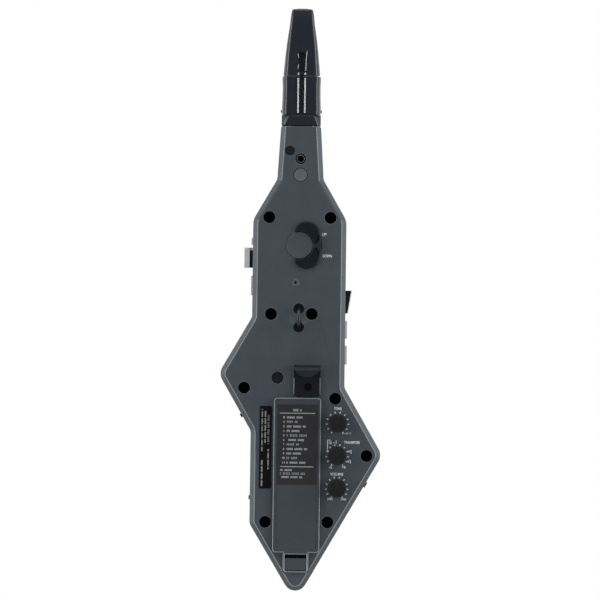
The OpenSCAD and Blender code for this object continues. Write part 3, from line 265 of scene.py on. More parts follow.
def mouldedPlastic(name, colour, dim, roughness, grain, depth, edgeHighlight=None, **inputs):
    # ABS from a spark-eroded mould: an even matt grain, faint flow clouds, and a painted highlight on the
    # edges
    material, tree, shader, place = newMaterial(name, roughness, IOR=1.53, **inputs)
    clouds = addNode(tree, "TexNoise",
                     {"Vector": place, "Scale": perMetre(patternSize["clouds"]), "Detail": 3.0})
    # specks a little coarser than the grain
    speck = addNode(tree, "TexNoise", {"Vector": place, "Scale": perMetre(grain * 1.7), "Detail": 2.0})
    blend = addNode(tree, "Math", {0: clouds.outputs[0], 1: speck.outputs[0]}, operation="MULTIPLY")
    spread = addNode(tree, "MapRange", {"Value": blend.outputs[0], "From Min": 0.1, "From Max": 0.4})
    tint = addNode(tree, "Mix",
                   {0: spread.outputs[0], 6: linearColour(dim), 7: linearColour(colour)}, data_type="RGBA")
    final = tint.outputs[2]
    if edgeHighlight:
        highlightMask = edgeHighlightMask(tree, patternSize["paintedHighlight"] * mm)
        paintedHighlight = addNode(tree, "Mix", {0: highlightMask, 6: final, 7: linearColour(edgeHighlight)}, data_type="RGBA")
        final = paintedHighlight.outputs[2]
    tree.links.new(final, shader.inputs["Base Color"])
    # the real grit is about 0.1 mm; it is drawn coarser so that it shows
    grit = addNode(tree, "TexNoise",
                   {"Vector": place, "Scale": perMetre(grain), "Detail": 4.0, "Roughness": 0.6})
    bump = addNode(tree, "Bump", {"Height": grit.outputs[0], "Strength": 0.55, "Distance": depth * mm})
    tree.links.new(bump.outputs[0], shader.inputs["Normal"])
    sheen = addNode(tree, "MapRange", {"Value": grit.outputs[0], "From Min": 0.3, "From Max": 0.7,
                                       "To Min": roughness - 0.05, "To Max": roughness + 0.07})
    tree.links.new(sheen.outputs[0], shader.inputs["Roughness"])
    return material


def polishedPlastic(name, colour, dim, roughness, **inputs):
    # moulded in a polished mould: glossy, with hairline scratches and faint waves
    material, tree, shader, place = newMaterial(name, roughness, IOR=1.5, **inputs)
    waves = addNode(tree, "TexNoise",
                    {"Vector": place, "Scale": perMetre(patternSize["waves"]), "Detail": 2.0})
    tint = addNode(tree, "Mix",
                   {0: waves.outputs[0], 6: linearColour(dim), 7: linearColour(colour)}, data_type="RGBA")
    tree.links.new(tint.outputs[2], shader.inputs["Base Color"])
    drawnOut = addNode(tree, "Mapping", {"Vector": place, "Scale": (1.0, 1.0, 0.06)})
    hairs = addNode(tree, "TexNoise",
                    {"Vector": drawnOut.outputs[0], "Scale": perMetre(patternSize["hairs"]), "Detail": 5.0})
    wipe = addNode(tree, "MapRange", {"Value": hairs.outputs[0], "From Min": 0.35, "From Max": 0.75,
                                      "To Min": roughness * 0.8, "To Max": roughness * 1.7})
    tree.links.new(wipe.outputs[0], shader.inputs["Roughness"])
    bump = addNode(tree, "Bump", {"Height": waves.outputs[0], "Strength": 0.3, "Distance": 0.08 * mm})
    tree.links.new(bump.outputs[0], shader.inputs["Normal"])
    return material


def drawnMetal(name, colour, dim, roughness, streak, **inputs):
    # plated or blackened steel: fine drawing lines and small stains
    material, tree, shader, place = newMaterial(name, roughness, Metallic=1.0, **inputs)
    lines = addNode(tree, "TexNoise", {"Vector": place, "Scale": perMetre(streak), "Detail": 6.0})
    tint = addNode(tree, "Mix",
                   {0: lines.outputs[0], 6: linearColour(dim), 7: linearColour(colour)}, data_type="RGBA")
    tree.links.new(tint.outputs[2], shader.inputs["Base Color"])
    rough = addNode(tree, "MapRange", {"Value": lines.outputs[0], "From Min": 0.3, "From Max": 0.7,
                                       "To Min": roughness - 0.06, "To Max": roughness + 0.08})
    tree.links.new(rough.outputs[0], shader.inputs["Roughness"])
    return material


def printedInk(name, colour, dim):
    # pad print: a thin matt ink whose cover is a little uneven
    material, tree, shader, place = newMaterial(name, roughness=0.6)
    cover = addNode(tree, "TexNoise",
                    {"Vector": place, "Scale": perMetre(patternSize["print"]), "Detail": 3.0})
    tint = addNode(tree, "Mix",
                   {0: cover.outputs[0], 6: linearColour(dim), 7: linearColour(colour)}, data_type="RGBA")
    tree.links.new(tint.outputs[2], shader.inputs["Base Color"])
    return material


def solderMask():
    # green lacquer over copper tracks, which show as slightly lighter ribs
    material, tree, shader, place = newMaterial("solderMaskOnGlassEpoxy", roughness=0.35, IOR=1.55)
    tracks = addNode(tree, "TexBrick", {
        "Vector": place, "Scale": perMetre(patternSize["tracks"]), "Color1": linearColour("#1c5c3c"),
        "Color2": linearColour("#1a5538"), "Mortar": linearColour("#2d7a52"), "Mortar Size": 0.03})
    tree.links.new(tracks.outputs[0], shader.inputs["Base Color"])
    bump = addNode(tree, "Bump", {"Height": tracks.outputs["Fac"], "Strength": 0.4, "Distance": 0.03 * mm})
    tree.links.new(bump.outputs[0], shader.inputs["Normal"])
    return material


# after its name each has its colour, a dimmer shade and its roughness; a moulded one then has the size and
# the depth of its grain in mm and the colour of its painted edge highlight, a drawn metal the size of its
# streaks
materials = {
    # charcoal ABS of the case: matt, cool grey, with a painted highlight on its edges
    "case": mouldedPlastic("charcoalAbsMoulded", "#485158", "#404950", 0.5, 0.7, 0.012, "#7a848a"),
    "mouthpiece": polishedPlastic("blackResinPolished", "#2b3039", "#22272f", 0.18),
    "black_plastic": mouldedPlastic("blackAbsMoulded", "#12151a", "#0c0e12", 0.36, 0.6, 0.02, "#2c3138"),
    "knob": mouldedPlastic("blackPolyamideMoulded", "#14181c", "#0d1114", 0.5, 0.5, 0.05, "#2c3238",
                           Specular_IOR_Level=0.3),
    # silver lacquer on ABS: fine metal flakes under a clear coat
    "key_cap": mouldedPlastic("silverLacqueredAbs", "#f2eef2", "#e6e2e6", 0.3, 0.4, 0.006, Coat_Weight=0.3),
    "finger_key": mouldedPlastic("whiteAbsSatin", "#dcdddd", "#d2d3d4", 0.32, 0.6, 0.008),
    "bar_key": mouldedPlastic("graphiteAbsSatin", "#2f3439", "#282c31", 0.38, 0.6, 0.015, "#50565b"),
    "octave_key": mouldedPlastic("blueBlackAbsRibbed", "#0e1822", "#0a121b", 0.42, 0.5, 0.02, "#2a3644",
                                 Specular_IOR_Level=0.3),
    "rubber": mouldedPlastic("nitrileRubberBlack", "#15191f", "#0f1217", 0.7, 0.8, 0.04,
                             Specular_IOR_Level=0.2),
    "seal": mouldedPlastic("siliconeSealRed", "#7a3b30", "#6c3329", 0.5, 0.8, 0.02),
    "silicone": mouldedPlastic("siliconeTubeClear", "#d8dadc", "#c8cacc", 0.35, 0.8, 0.01),
    "disc": polishedPlastic("greyAbsPolished", "#6d747a", "#60676d", 0.24),
    "wire": drawnMetal("blackenedSteelWire", "#4a4d52", "#303236", 0.3, 0.6),
    "screw": drawnMetal("blackOxideSteel", "#26282b", "#17181a", 0.42, 0.4),
    "bright_metal": drawnMetal("nickelPlatedSteel", "#b9bbbf", "#9a9ca0", 0.28, 0.3),
    "label": mouldedPlastic("printedPolyesterFilm", "#2d2d32", "#26262a", 0.4, 0.5, 0.005),
    "board": solderMask(),
    "part_body": mouldedPlastic("filledPolyesterBlack", "#1f2326", "#191c1f", 0.45, 0.5, 0.02),
    "speaker": drawnMetal("coatedSteelBasket", "#2a2c2f", "#1b1c1e", 0.5, 0.8),
    "cell": mouldedPlastic("shrinkWrapGreen", "#3e7a5a", "#2f6147", 0.3, 2.0, 0.01),
}
inkWhite = printedInk("padPrintWhite", "#f6f7f8", "#dfe2e4")
inkLabel = printedInk("labelPrintWhite", "#d4d6d8", "#b9bcbf")
# black film of the rating plate, also the painted shadow in the groove round the neck cap and in the pinhole
plateFilmAndShadow = mouldedPlastic("blackPolyesterFilmAndPaintedShadow", "#08090b", "#050607", 0.42, 0.5, 0.005,
                           Specular_IOR_Level=0.2)
doorPlastic = mouldedPlastic("charcoalAbsDoor", "#3d454b", "#363e44", 0.5, 0.7, 0.012)
# painted highlight: a pale strip along the rounded outer edge of the door and the inner edge of the case's
# chamfer
highlightPlastic = mouldedPlastic("charcoalAbsPaintedEdgeHighlight", "#a4aeb4", "#929ca2", 0.4, 0.7, 0.01)
grooveHighlight = mouldedPlastic("charcoalAbsGroovePaintedHighlight", "#586168", "#4f585f", 0.4, 0.7, 0.01)
screwRimHighlight = drawnMetal("blackOxidePaintedRimHighlight", "#a5a8ac", "#84878b", 0.3, 0.4)
ribHighlight = mouldedPlastic("blueBlackAbsRibPaintedHighlight", "#1d2936", "#17212c", 0.4, 0.5, 0.01,
                        Specular_IOR_Level=0.3)
hookEdgeHighlight = mouldedPlastic("blackAbsPaintedEdgeHighlight", "#7d868c", "#6b7479", 0.4, 0.6, 0.01)
hookPlastic = mouldedPlastic("blackAbsThumbHook", "#191e25", "#13171d", 0.62, 0.6, 0.02,
                             Specular_IOR_Level=0.15)
hookEndHighlight = mouldedPlastic("blackAbsThumbHookPaintedHighlight", "#262b31", "#1f2429", 0.5, 0.6, 0.01,
                             Specular_IOR_Level=0.2)

for name, piece in nodes.items():
    piece.data.materials.clear()
    piece.data.materials.append(materials[slotOf[name]])
nodes["rating_plate"].data.materials[0] = plateFilmAndShadow
print("materials made:", len(bpy.data.materials))


# Camera at the photograph's angle: square to the rear face, leaning by less than a degree

photoView = {"distance": 3.0, "centreX": 0.86 * mm, "centreZ": 14.04 * mm, "width": 468 * mm, "lean": 0.745,
             "sensor": 36, "clip": (0.05, 20)}
bpy.ops.object.camera_add(
    location=(photoView["centreX"], -photoView["distance"], photoView["centreZ"]),
    rotation=(math.radians(90), -math.radians(photoView["lean"]), 0))
camera = bpy.context.object
camera.data.sensor_width = photoView["sensor"]
camera.data.lens = photoView["sensor"] * photoView["distance"] / photoView["width"]
camera.data.clip_start, camera.data.clip_end = photoView["clip"]
scene.camera = camera


# Finished copies of the CAD mouldings, with the small edge radius that every mould leaves

roundings = {
    # node: edge radius in mm, segments; those with none are copied as they are or get theirs edge by edge
    "rear_case": (0.0, 0),
    "front_case": (0.35, 2),
    "battery_door": (0.0, 0),
    "battery_latch": (0.25, 2),
    "thumb_hook": (0.0, 0),
    "thumb_rest": (0.35, 3),
    "neck_cap": (0.2, 2),
    "drain_plug": (0.3, 2),
    "strap_ring": (0.0, 0),
    "case_screws": (0.12, 1),
    "screw_plug": (0.3, 2),
    "neck_screw": (0.0, 0),
    "hook_screw": (0.12, 1),
    "tone_knob": (0.14, 2),
    "transpose_knob": (0.14, 2),
    "volume_knob": (0.14, 2),
    "octave_up_key": (0.0, 0),
    "octave_down_key": (0.0, 0),
    "palm_key_upper": (0.5, 3),
    "palm_key_middle": (0.5, 3),
    "palm_key_lower": (0.5, 3),
    "side_key_upper": (0.4, 3),
    "side_key_middle": (0.5, 3),
    "side_key_lower": (0.5, 3),
    "speaker_grille": (0.12, 1),
    "phones_jack": (0.25, 2),
    "usb_socket": (0.1, 1),
    "power_switch": (0.2, 2),
}
frontKeyRounding = (0.3, 3)
for name in nodes:
    if name.endswith("_key") and slotOf[name] in ("finger_key", "bar_key"):
        roundings[name] = frontKeyRounding
evenFirst = ("e_flat_key", "low_c_key")
# faces that turn by less than this, in degrees, are one flat face
flatAngle = 0.6


def mouldedCopy(name, radius, segments):
    source = nodes[name]
    piece = bpy.data.objects.new(name + "_moulding", source.data.copy())
    scene.collection.objects.link(piece)
    activate(piece)
    bpy.ops.mesh.customdata_custom_splitnormals_clear()
    editAll(piece)
    bpy.ops.mesh.remove_doubles(threshold=mergeDistance)
    bpy.ops.mesh.dissolve_limited(angle_limit=math.radians(flatAngle))
    leaveEdit()
    if name in evenFirst:
        evenTriangles(piece)
    if segments:
        bevelEdges(piece, radius, segments, smoothAngle)
    smoothByAngle(piece)
    finishPiece(piece, materials[slotOf[name]], bodyOf[name], [name])
    return piece


def splitAlong(piece, point, normal):
    # new edges where a plane through this point, in mm, meets the faces
    editAll(piece)
    bpy.ops.mesh.bisect(plane_co=[c * mm for c in point], plane_no=normal)
    leaveEdit()


def paintFaces(piece, material, test):
    # gives the faces for which the test holds one more material of their own
    activate(piece)
    piece.data.materials.append(material)
    selectInEdit(piece, "FACE", test)
    piece.active_material_index = len(piece.data.materials) - 1
    bpy.ops.object.material_slot_assign()
    leaveEdit()


def leanOf(face):
    # degrees between the face and the flat rear face
    return math.degrees(math.acos(max(-1.0, min(1.0, -face.normal.y))))


def evenTriangles(piece):
    # well-shaped triangles on the flat faces, so that no long edge passes close to a rim that gets rounded
    activate(piece)
    selectInEdit(piece, "FACE", lambda centre, normal: True)
    bpy.ops.mesh.quads_convert_to_tris(quad_method="BEAUTY", ngon_method="BEAUTY")
    bpy.ops.mesh.beautify_fill(angle_limit=math.radians(1))
    leaveEdit()


def roundEdges(piece, test, radius, segments, material=-1):
    # rounds the edges for which the test holds; it gets the edge's two ends and the faces beside it
    activate(piece)
    mesh = piece.data
    beside = {}
    for face in mesh.polygons:
        for key in face.edge_keys:
            beside.setdefault(key, []).append(face.index)
    selectInEdit(piece, "EDGE", lambda a, b: False)
    leaveEdit()
    for edge in mesh.edges:
        a, b = (mesh.vertices[i].co for i in edge.vertices)
        edge.select = test(a, b, [mesh.polygons[i] for i in beside.get(tuple(sorted(edge.vertices)), ())])
    print("edges rounded on", piece.name, sum(edge.select for edge in mesh.edges))
    bpy.ops.object.mode_set(mode="EDIT")
    bpy.ops.mesh.bevel(offset=radius * mm, segments=segments, affect="EDGES", material=material)
    leaveEdit()


mouldings = {name: mouldedCopy(name, radius, segments) for name, (radius, segments) in roundings.items()}
print("mouldings finished:", len(mouldings))

# Edge keys: the middle palm key is a silver cap on a black stem, the upper side key black with a silver face
edgeKeys = {"stemX": -39.1, "stemDrop": 2.2, "plate": 0.8, "footBelow": 10}

palmKey = mouldings["palm_key_middle"]
palmTop = max(vertex.co.z for vertex in palmKey.data.vertices) / mm - edgeKeys["stemDrop"]
splitAlong(palmKey, (0, 0, palmTop), (0, 0, 1))
paintFaces(palmKey, materials["black_plastic"],
           lambda centre, normal: centre.x > edgeKeys["stemX"] * mm and centre.z < palmTop * mm)

sideKey = mouldings["side_key_upper"]
outer = [vertex.co / mm for vertex in sideKey.data.vertices]
upper = max(outer, key=lambda at: at.x)
foot = max((at for at in outer if at.z < upper.z - edgeKeys["footBelow"]), key=lambda at: at.x)
across = Vector((upper.z - foot.z, 0, foot.x - upper.x)).normalized()
inner = upper - across * edgeKeys["plate"]
splitAlong(sideKey, inner, across)
paintFaces(sideKey, materials["key_cap"],
           lambda centre, normal: (centre / mm - inner).dot(across) > 0)

# Battery door: rounded along its outer edge, which carries a painted highlight
doorEdge = {"rounding": (0.5, 3), "window": 9.0, "windowLow": 0.5, "windowHigh": 3.0, "wall": 1.0,
            "upright": 0.1, "groove": (0.2, 0.45)}
door = mouldings["battery_door"]
door.data.materials[0] = doorPlastic
door.data.materials.append(highlightPlastic)
mouldings["battery_latch"].data.materials[0] = doorPlastic
doorTop = min(vertex.co.y for vertex in door.data.vertices)
tabLow = min(vertex.co.z for vertex in door.data.vertices)
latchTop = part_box("battery_latch")[1][2] + doorEdge["windowHigh"] * mm
grooveTop, grooveFloor = (doorTop + depth * mm for depth in doorEdge["groove"])


def isDoorRim(a, b, faces):
    # an edge of the outer face that stands on a deep wall, but not round the latch window
    inWindow = max(abs(a.x), abs(b.x)) < doorEdge["window"] * mm and max(a.z, b.z) < latchTop and (
        min(a.z, b.z) > tabLow + doorEdge["windowLow"] * mm)
    if max(a.y, b.y) > doorTop + touching or inWindow:
        return False
    for face in faces:
        depths = [door.data.vertices[i].co.y for i in face.vertices]
        if abs(face.normal.y) < doorEdge["upright"] and max(depths) - min(depths) > doorEdge["wall"] * mm:
            return True
    return False


evenTriangles(door)
roundEdges(door, isDoorRim, *doorEdge["rounding"], material=1)
smoothByAngle(door)
# painted highlight: the floor of the groove on the door is lighter than the door
paintFaces(door, grooveHighlight,
           lambda centre, normal: normal.y < -faceOn and grooveTop < centre.y < grooveFloor)

# Rear case: a painted highlight along the inner edge of its chamfer, soft elsewhere and softest on its
# shoulders
caseEdge = {"highlightStrip": (0.3, 2), "shoulder": (1.6, 4), "outer": (0.5, 3), "soft": (0.2, 2),
            "shoulderZ": (76.5, 106.5), "level": 0.06, "footY": 2.0, "pocket": 0.4}
# degrees by which the face, the chamfer round it and the walls lean from the flat of the face
leanRange = {"face": (0, 3), "chamfer": (30, 45), "wall": (80, 100)}
hookLow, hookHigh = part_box("thumb_hook")
case = mouldings["rear_case"]
case.data.materials.append(highlightPlastic)


def onFace(a, b):
    return max(abs(a.y), abs(b.y)) < caseEdge["level"] * mm


def meet(faces, first, second):
    # the edge lies between a face that leans like the first and one that leans like the second
    leans = sorted(leanOf(face) for face in faces)
    return len(leans) == 2 and all(
        leanRange[kind][0] <= lean < leanRange[kind][1] for kind, lean in zip((first, second), leans))


def isChamferTop(a, b, faces):
    return onFace(a, b) and meet(faces, "face", "chamfer")


def isChamferFoot(a, b, faces):
    return meet(faces, "chamfer", "wall") and min(a.y, b.y) > caseEdge["footY"] * mm


def isShoulderTop(a, b, faces):
    low, high = (z * mm for z in caseEdge["shoulderZ"])
    return isChamferTop(a, b, faces) and low < min(a.z, b.z) and max(a.z, b.z) < high


def isFaceRim(a, b, faces):
    # the edge of a hole in the flat face, but not the thumb hook's pocket, which stays sharp
    reach = caseEdge["pocket"] * mm
    inPocket = all(hookLow[k] - reach < end[k] < hookHigh[k] + reach for end in (a, b) for k in (0, 2))
    return onFace(a, b) and not inPocket and meet(faces, "face", "wall")


evenTriangles(case)
roundEdges(case, isShoulderTop, *caseEdge["shoulder"])
# the chamfer's inner edge gets the painted highlight strip
roundEdges(case, lambda a, b, faces: isChamferTop(a, b, faces) and not isShoulderTop(a, b, faces),
           *caseEdge["highlightStrip"], material=1)
roundEdges(case, isChamferFoot, *caseEdge["outer"])
roundEdges(case, isFaceRim, *caseEdge["soft"])
smoothByAngle(case)

# painted shadow: the groove round the neck cap and the pinhole get the black film colour for the shade in
# them
capGroove = {"wider": 0.7, "from": 0.02, "to": 2.0}
capLow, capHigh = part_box("neck_cap")
capMiddle = middleOf(capLow, capHigh)
grooveRadius = (capHigh[0] - capLow[0]) / 2 + capGroove["wider"] * mm
paintFaces(case, plateFilmAndShadow, lambda centre, normal: fromAxis(centre, capMiddle) < grooveRadius and (
    capGroove["from"] * mm < centre.y < capGroove["to"] * mm))
pinhole = {"middle": (-2.8, 0, 27.6), "radius": 1.0, "from": -1.0, "to": 4.0}
paintFaces(case, plateFilmAndShadow, lambda centre, normal: pinhole["from"] * mm < centre.y < pinhole["to"] * mm and (
    fromAxis(centre / mm, pinhole["middle"]) < pinhole["radius"]))

# Thumb hook: its rounded end, which faces the light, and the edges of its base carry painted highlights
hookLook = {"edge": (0.4, 3), "shortest": 1.2, "sharp": 50, "highlightDepth": 1.2, "highlightShare": 0.4,
            "rim": (0.5, 2), "rimShortest": 1.0, "rimDepth": 1.6, "rimHigh": -47.0}
hook = mouldings["thumb_hook"]
hook.data.materials[0] = hookPlastic
hook.data.materials.append(hookEdgeHighlight)


def isHookRim(a, b, faces):
    # the two upright edges of the base beside the pocket
    level = all(abs(end.y + hookLook["rimDepth"] * mm) < touching for end in (a, b))
    outer = all(min(end.x - hookLow[0], hookHigh[0] - end.x) < touching for end in (a, b))
    below = max(a.z, b.z) < hookLook["rimHigh"] * mm + touching
    return level and outer and below and (a - b).length > hookLook["rimShortest"] * mm


def isHookEdge(a, b, faces):
    sharp = len(faces) == 2 and faces[0].normal.angle(faces[1].normal) > math.radians(hookLook["sharp"])
    return sharp and (a - b).length > hookLook["shortest"] * mm and not isHookRim(a, b, faces)


splitAlong(hook, (0, 0, hookLook["rimHigh"]), (0, 0, 1))
evenTriangles(hook)
# the base's upright edges get a painted highlight
roundEdges(hook, isHookRim, *hookLook["rim"], material=1)
roundEdges(hook, isHookEdge, *hookLook["edge"])
smoothByAngle(hook)
hookEnd = min(vertex.co.y for vertex in hook.data.vertices)
# painted highlight: the hook's end, which faces the light, gets a lighter black
paintFaces(hook, hookEndHighlight, lambda centre, normal: centre.y < hookEnd + hookLook["highlightDepth"] * mm and (
    normal.y < -hookLook["highlightShare"]))

# Neck screw: a black head whose rounded rim carries a painted highlight
screwRounding = (0.45, 3)
neckScrew = mouldings["neck_screw"]
neckScrew.data.materials.append(screwRimHighlight)
screwLow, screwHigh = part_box("neck_screw")
screwMiddle = middleOf(screwLow, screwHigh)


def isScrewRim(a, b, faces):
    return all(end.y < screwLow[1] + touching and (
        fromAxis(end, screwMiddle) > screwHigh[0] - touching) for end in (a, b))


# painted highlight on the rounded rim of the head
roundEdges(neckScrew, isScrewRim, *screwRounding, material=1)
smoothByAngle(neckScrew)

# Octave keys: their faces fall away towards the rim
keyRounding = (0.4, 3)
for name in ("octave_up_key", "octave_down_key"):
    key = mouldings[name]
    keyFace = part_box(name)[0][1]
    roundEdges(key, lambda a, b, faces: max(a.y, b.y) < keyFace + touching and any(
        leanOf(face) > leanRange["wall"][0] for face in faces), *keyRounding)
    smoothByAngle(key)


def shadeFlat(piece, test):
    # large flat faces keep their own direction in the shading, so that only the rounded edges turn the light
    activate(piece)
    selectInEdit(piece, "FACE", lambda centre, normal: False)
    leaveEdit()
    for face in piece.data.polygons:
        face.select = test(face)
    bpy.ops.object.mode_set(mode="EDIT")
    bpy.ops.mesh.faces_shade_flat()
    leaveEdit()


# a flat face's share of its normal along Y and its least area in square mm, and the chamfer's lean in degrees
flatFaces = {"share": 0.999, "area": 8, "caseShare": 0.9999, "chamfer": (36, 40), "chamferArea": 15}
for piece in mouldings.values():
    shadeFlat(piece, lambda face: abs(face.normal.y) > flatFaces["share"] and (
        face.area > flatFaces["area"] * mm * mm))
chamferFrom, chamferTo = flatFaces["chamfer"]
shadeFlat(case, lambda face: abs(face.normal.y) > flatFaces["caseShare"] or (
    chamferFrom < leanOf(face) < chamferTo and face.area > flatFaces["chamferArea"] * mm * mm))
shadeFlat(door, lambda face: abs(face.normal.y) > flatFaces["caseShare"])


# Mouthpiece: a collar with slanted facets, a ring groove, then the barrel and the beak

mouth = {
    "axisY": 15,
    # the rear corners lie beyond this x
    "cornerX": 15,
    # roundings of the pieces and of the bright strips: width in mm, segments, degrees
    "edge": (0.35, 3, 24),
    "stripEdge": (0.3, 3, 40),
    "smoothAngle": 30,
    "stripSmoothAngle": 35,
    "collar": {"low": 150.2, "high": 158.2, "halfWidth": 15.3, "rear": 1.0, "front": 29.0,
               "facet": (2.4, 1), "facetMoveX": 3.4, "facetMoveY": 2.2, "frontRound": (7.0, 8)},
    "ring": {"low": 157.8, "high": 159.4, "halfWidth": 14.7, "rear": 1.7, "front": 28.3,
             "rounding": (3.0, 4)},
    "barrel": {"facet": (4.4, 10), "facetStretch": 2.2, "frontRound": (8.0, 8), "firstStep": 0.5},
    "channel": {"halfWidth": 1.95, "rear": -2, "front": 2.3, "low": 159.8, "high": 187.6},
    "rail": {"x": 2.65, "y": 1.15, "radius": 0.62, "low": 159.9, "high": 187.3, "sides": 20},
    "stud": {"x": 2.65, "y": 2.4, "radius": 0.6, "low": 189.6, "high": 191.6, "sides": 20},
    # thin bright metal strips along the recess, which stand in for the highlights on its edges as a painted
    # highlight: x and height of their two ends, depth, radius
    "rims": [((3.05, 193.5), (3.3, 203.0), 2.7, 0.28), ((3.3, 202.6), (4.1, 208.6), 3.1, 0.24),
             ((-2.9, 195.0), (-2.7, 198.4), 2.8, 0.24), ((-2.5, 203.4), (-3.0, 206.6), 3.2, 0.24)],
    "rimSides": 12,
    # they sink into the beak by so much in so much height
    "rimSlope": (0.6, 8),
    "dimple": {"z": 188.9, "radius": 1.3, "depth": 3.2},
    "recess": {"halfWidth": 2.2, "halfHigh": 2.8, "rear": -2, "front": 5.6, "low": 192.0, "high": 207.6,
               "rounding": (1.6, 5)},
    # the rod that makes both nubs is cleared inside the second radius
    "nub": {"z": 161.7, "radius": 1.2, "reach": 16.1, "inside": 13.5, "sides": 24},
    "bore": {"radius": 9.2, "high": 169.9, "length": 40, "sides": 64},
    "slot": {"halfWidth": 5.0, "rear": 7.0, "front": 9.0, "low": 233.0, "high": 245.0},
}
# the barrel's sections: height, half width, rear plane, front plane
sections = [
    (159.0, 15.2, 1.0, 29.0), (164.0, 15.3, 0.9, 29.1), (172.0, 15.0, 1.2, 28.8), (180.0, 14.9, 1.3, 28.7),
    (187.0, 15.2, 1.1, 28.9), (188.6, 15.0, 1.4, 28.6), (189.2, 14.3, 2.2, 27.8), (190.2, 14.4, 2.4, 27.4),
    (198.0, 13.7, 2.9, 23.8), (206.2, 12.9, 3.4, 20.9), (214.0, 12.0, 3.8, 18.3), (221.0, 11.0, 4.2, 16.1),
    (229.0, 9.8, 4.5, 13.9), (237.2, 8.9, 4.7, 12.1), (237.7, 8.76, 4.9, 12.0), (239.6, 8.5, 5.05, 11.5),
    (240.7, 8.1, 5.3, 11.1), (241.4, 7.2, 5.8, 10.5), (241.78, 5.4, 6.6, 9.7)]
alongY, alongZ = 1, 2


def planBox(name, plan):
    return boxPiece(name, (-plan["halfWidth"], plan["rear"], plan["low"]),
                    (plan["halfWidth"], plan["front"], plan["high"]))


def roundAlong(piece, axis, test, width, segments):
    # rounds the edges along this axis for whose middle the test holds; the width is in mm
    selectInEdit(piece, "EDGE", lambda a, b: abs(a[axis] - b[axis]) > touching and test((a + b) / 2))
    bpy.ops.mesh.bevel(offset=width * mm, segments=segments, affect="EDGES")
    leaveEdit()


def roundCorners(piece, plan, rear, front):
    # the corners at the front are round, those at the rear have facets
    middle = (rear + front) / 2 * mm
    roundAlong(piece, alongZ, lambda at: at.y > middle, *plan["frontRound"])
    roundAlong(piece, alongZ, lambda at: at.y < middle and abs(at.x) > mouth["cornerX"] * mm, *plan["facet"])


def collarPiece(plan):
    piece = planBox("collar", plan)
    roundCorners(piece, plan, plan["rear"], plan["front"])
    # the facets widen towards the top
    for side in (-1, 1):
        for y, move in ((plan["rear"], (-side * plan["facetMoveX"] * mm, 0, 0)),
                        (plan["rear"] + plan["facet"][0], (0, plan["facetMoveY"] * mm, 0))):
            selectInEdit(piece, "VERT", lambda at: at.z > plan["high"] * mm - touching and (
                at.x * side > 0 and abs(at.y - y * mm) < touching))
            bpy.ops.transform.translate(value=move)
            leaveEdit()
    return piece


def barrelPiece(plan):
    low = sections[0]
    first = low[0] + plan["firstStep"]
    piece = boxPiece("barrel", (-low[1], low[2], low[0]), (low[1], low[3], first))
    roundCorners(piece, plan, low[2], low[3])
    # the rear corners are flat ovals: they turn slowly towards the sides
    selectInEdit(piece, "VERT", lambda at: at.y < (low[2] + plan["facet"][0]) * mm + touching)
    bpy.ops.transform.resize(value=(1, plan["facetStretch"], 1),
                             center_override=(0, low[2] * mm, low[0] * mm))
    leaveEdit()
    selectInEdit(piece, "FACE", lambda centre, normal: normal.z > faceOn)
    last = (first, low[1], low[2], low[3])
    for section in sections[1:]:
        z, half, rear, front = section
        centre = (rear + front) / 2
        shift = centre - (last[2] + last[3]) / 2
        bpy.ops.mesh.extrude_region_move(
            TRANSFORM_OT_translate={"value": (0, shift * mm, (z - last[0]) * mm)})
        bpy.ops.transform.resize(value=(half / last[1], (front - rear) / (last[3] - last[2]), 1),
                                 center_override=(0, centre * mm, z * mm))
        last = section
    leaveEdit()
    return piece


def recessCutter(plan):
    piece = planBox("recess", plan)
    selectInEdit(piece, "FACE", lambda centre, normal: normal.z > faceOn)
    bpy.ops.transform.resize(value=(plan["halfHigh"] / plan["halfWidth"], 1, 1),
                             center_override=(0, 0, plan["high"] * mm))
    leaveEdit()
    roundAlong(piece, alongY, lambda at: True, *plan["rounding"])
    return piece


def cutBore(piece, radius):
    bore = mouth["bore"]
    middle = (0, mouth["axisY"], bore["high"] - bore["length"] / 2)
    cutWith(piece, rodPiece("bore", middle, radius, bore["length"], "Z", bore["sides"]))


ringCore = planBox("ringCore", mouth["ring"])
roundAlong(ringCore, alongZ, lambda at: True, *mouth["ring"]["rounding"])
barrel = barrelPiece(mouth["barrel"])
cutWith(barrel, planBox("channel", mouth["channel"]))
dimple = mouth["dimple"]
cutWith(barrel, rodPiece("dimple", (0, 0, dimple["z"]), dimple["radius"], 2 * dimple["depth"], "Y"))
cutWith(barrel, recessCutter(mouth["recess"]))
cutWith(barrel, planBox("slot", mouth["slot"]))
nub = mouth["nub"]
nubs = rodPiece("nubs", (0, mouth["axisY"], nub["z"]), nub["radius"], 2 * nub["reach"], "X", nub["sides"])
parts = [collarPiece(mouth["collar"]), ringCore, barrel, nubs]
for part in parts:
    if part is not nubs:
        cutBore(part, mouth["bore"]["radius"])
    bevelEdges(part, *mouth["edge"])
cutBore(nubs, nub["inside"])
mouthpieceBody = joinPieces(parts, "mouthpiece_body")
smoothByAngle(mouthpieceBody, mouth["smoothAngle"])
finishPiece(mouthpieceBody, materials["mouthpiece"], "mouthpiece", ["mouthpiece"])

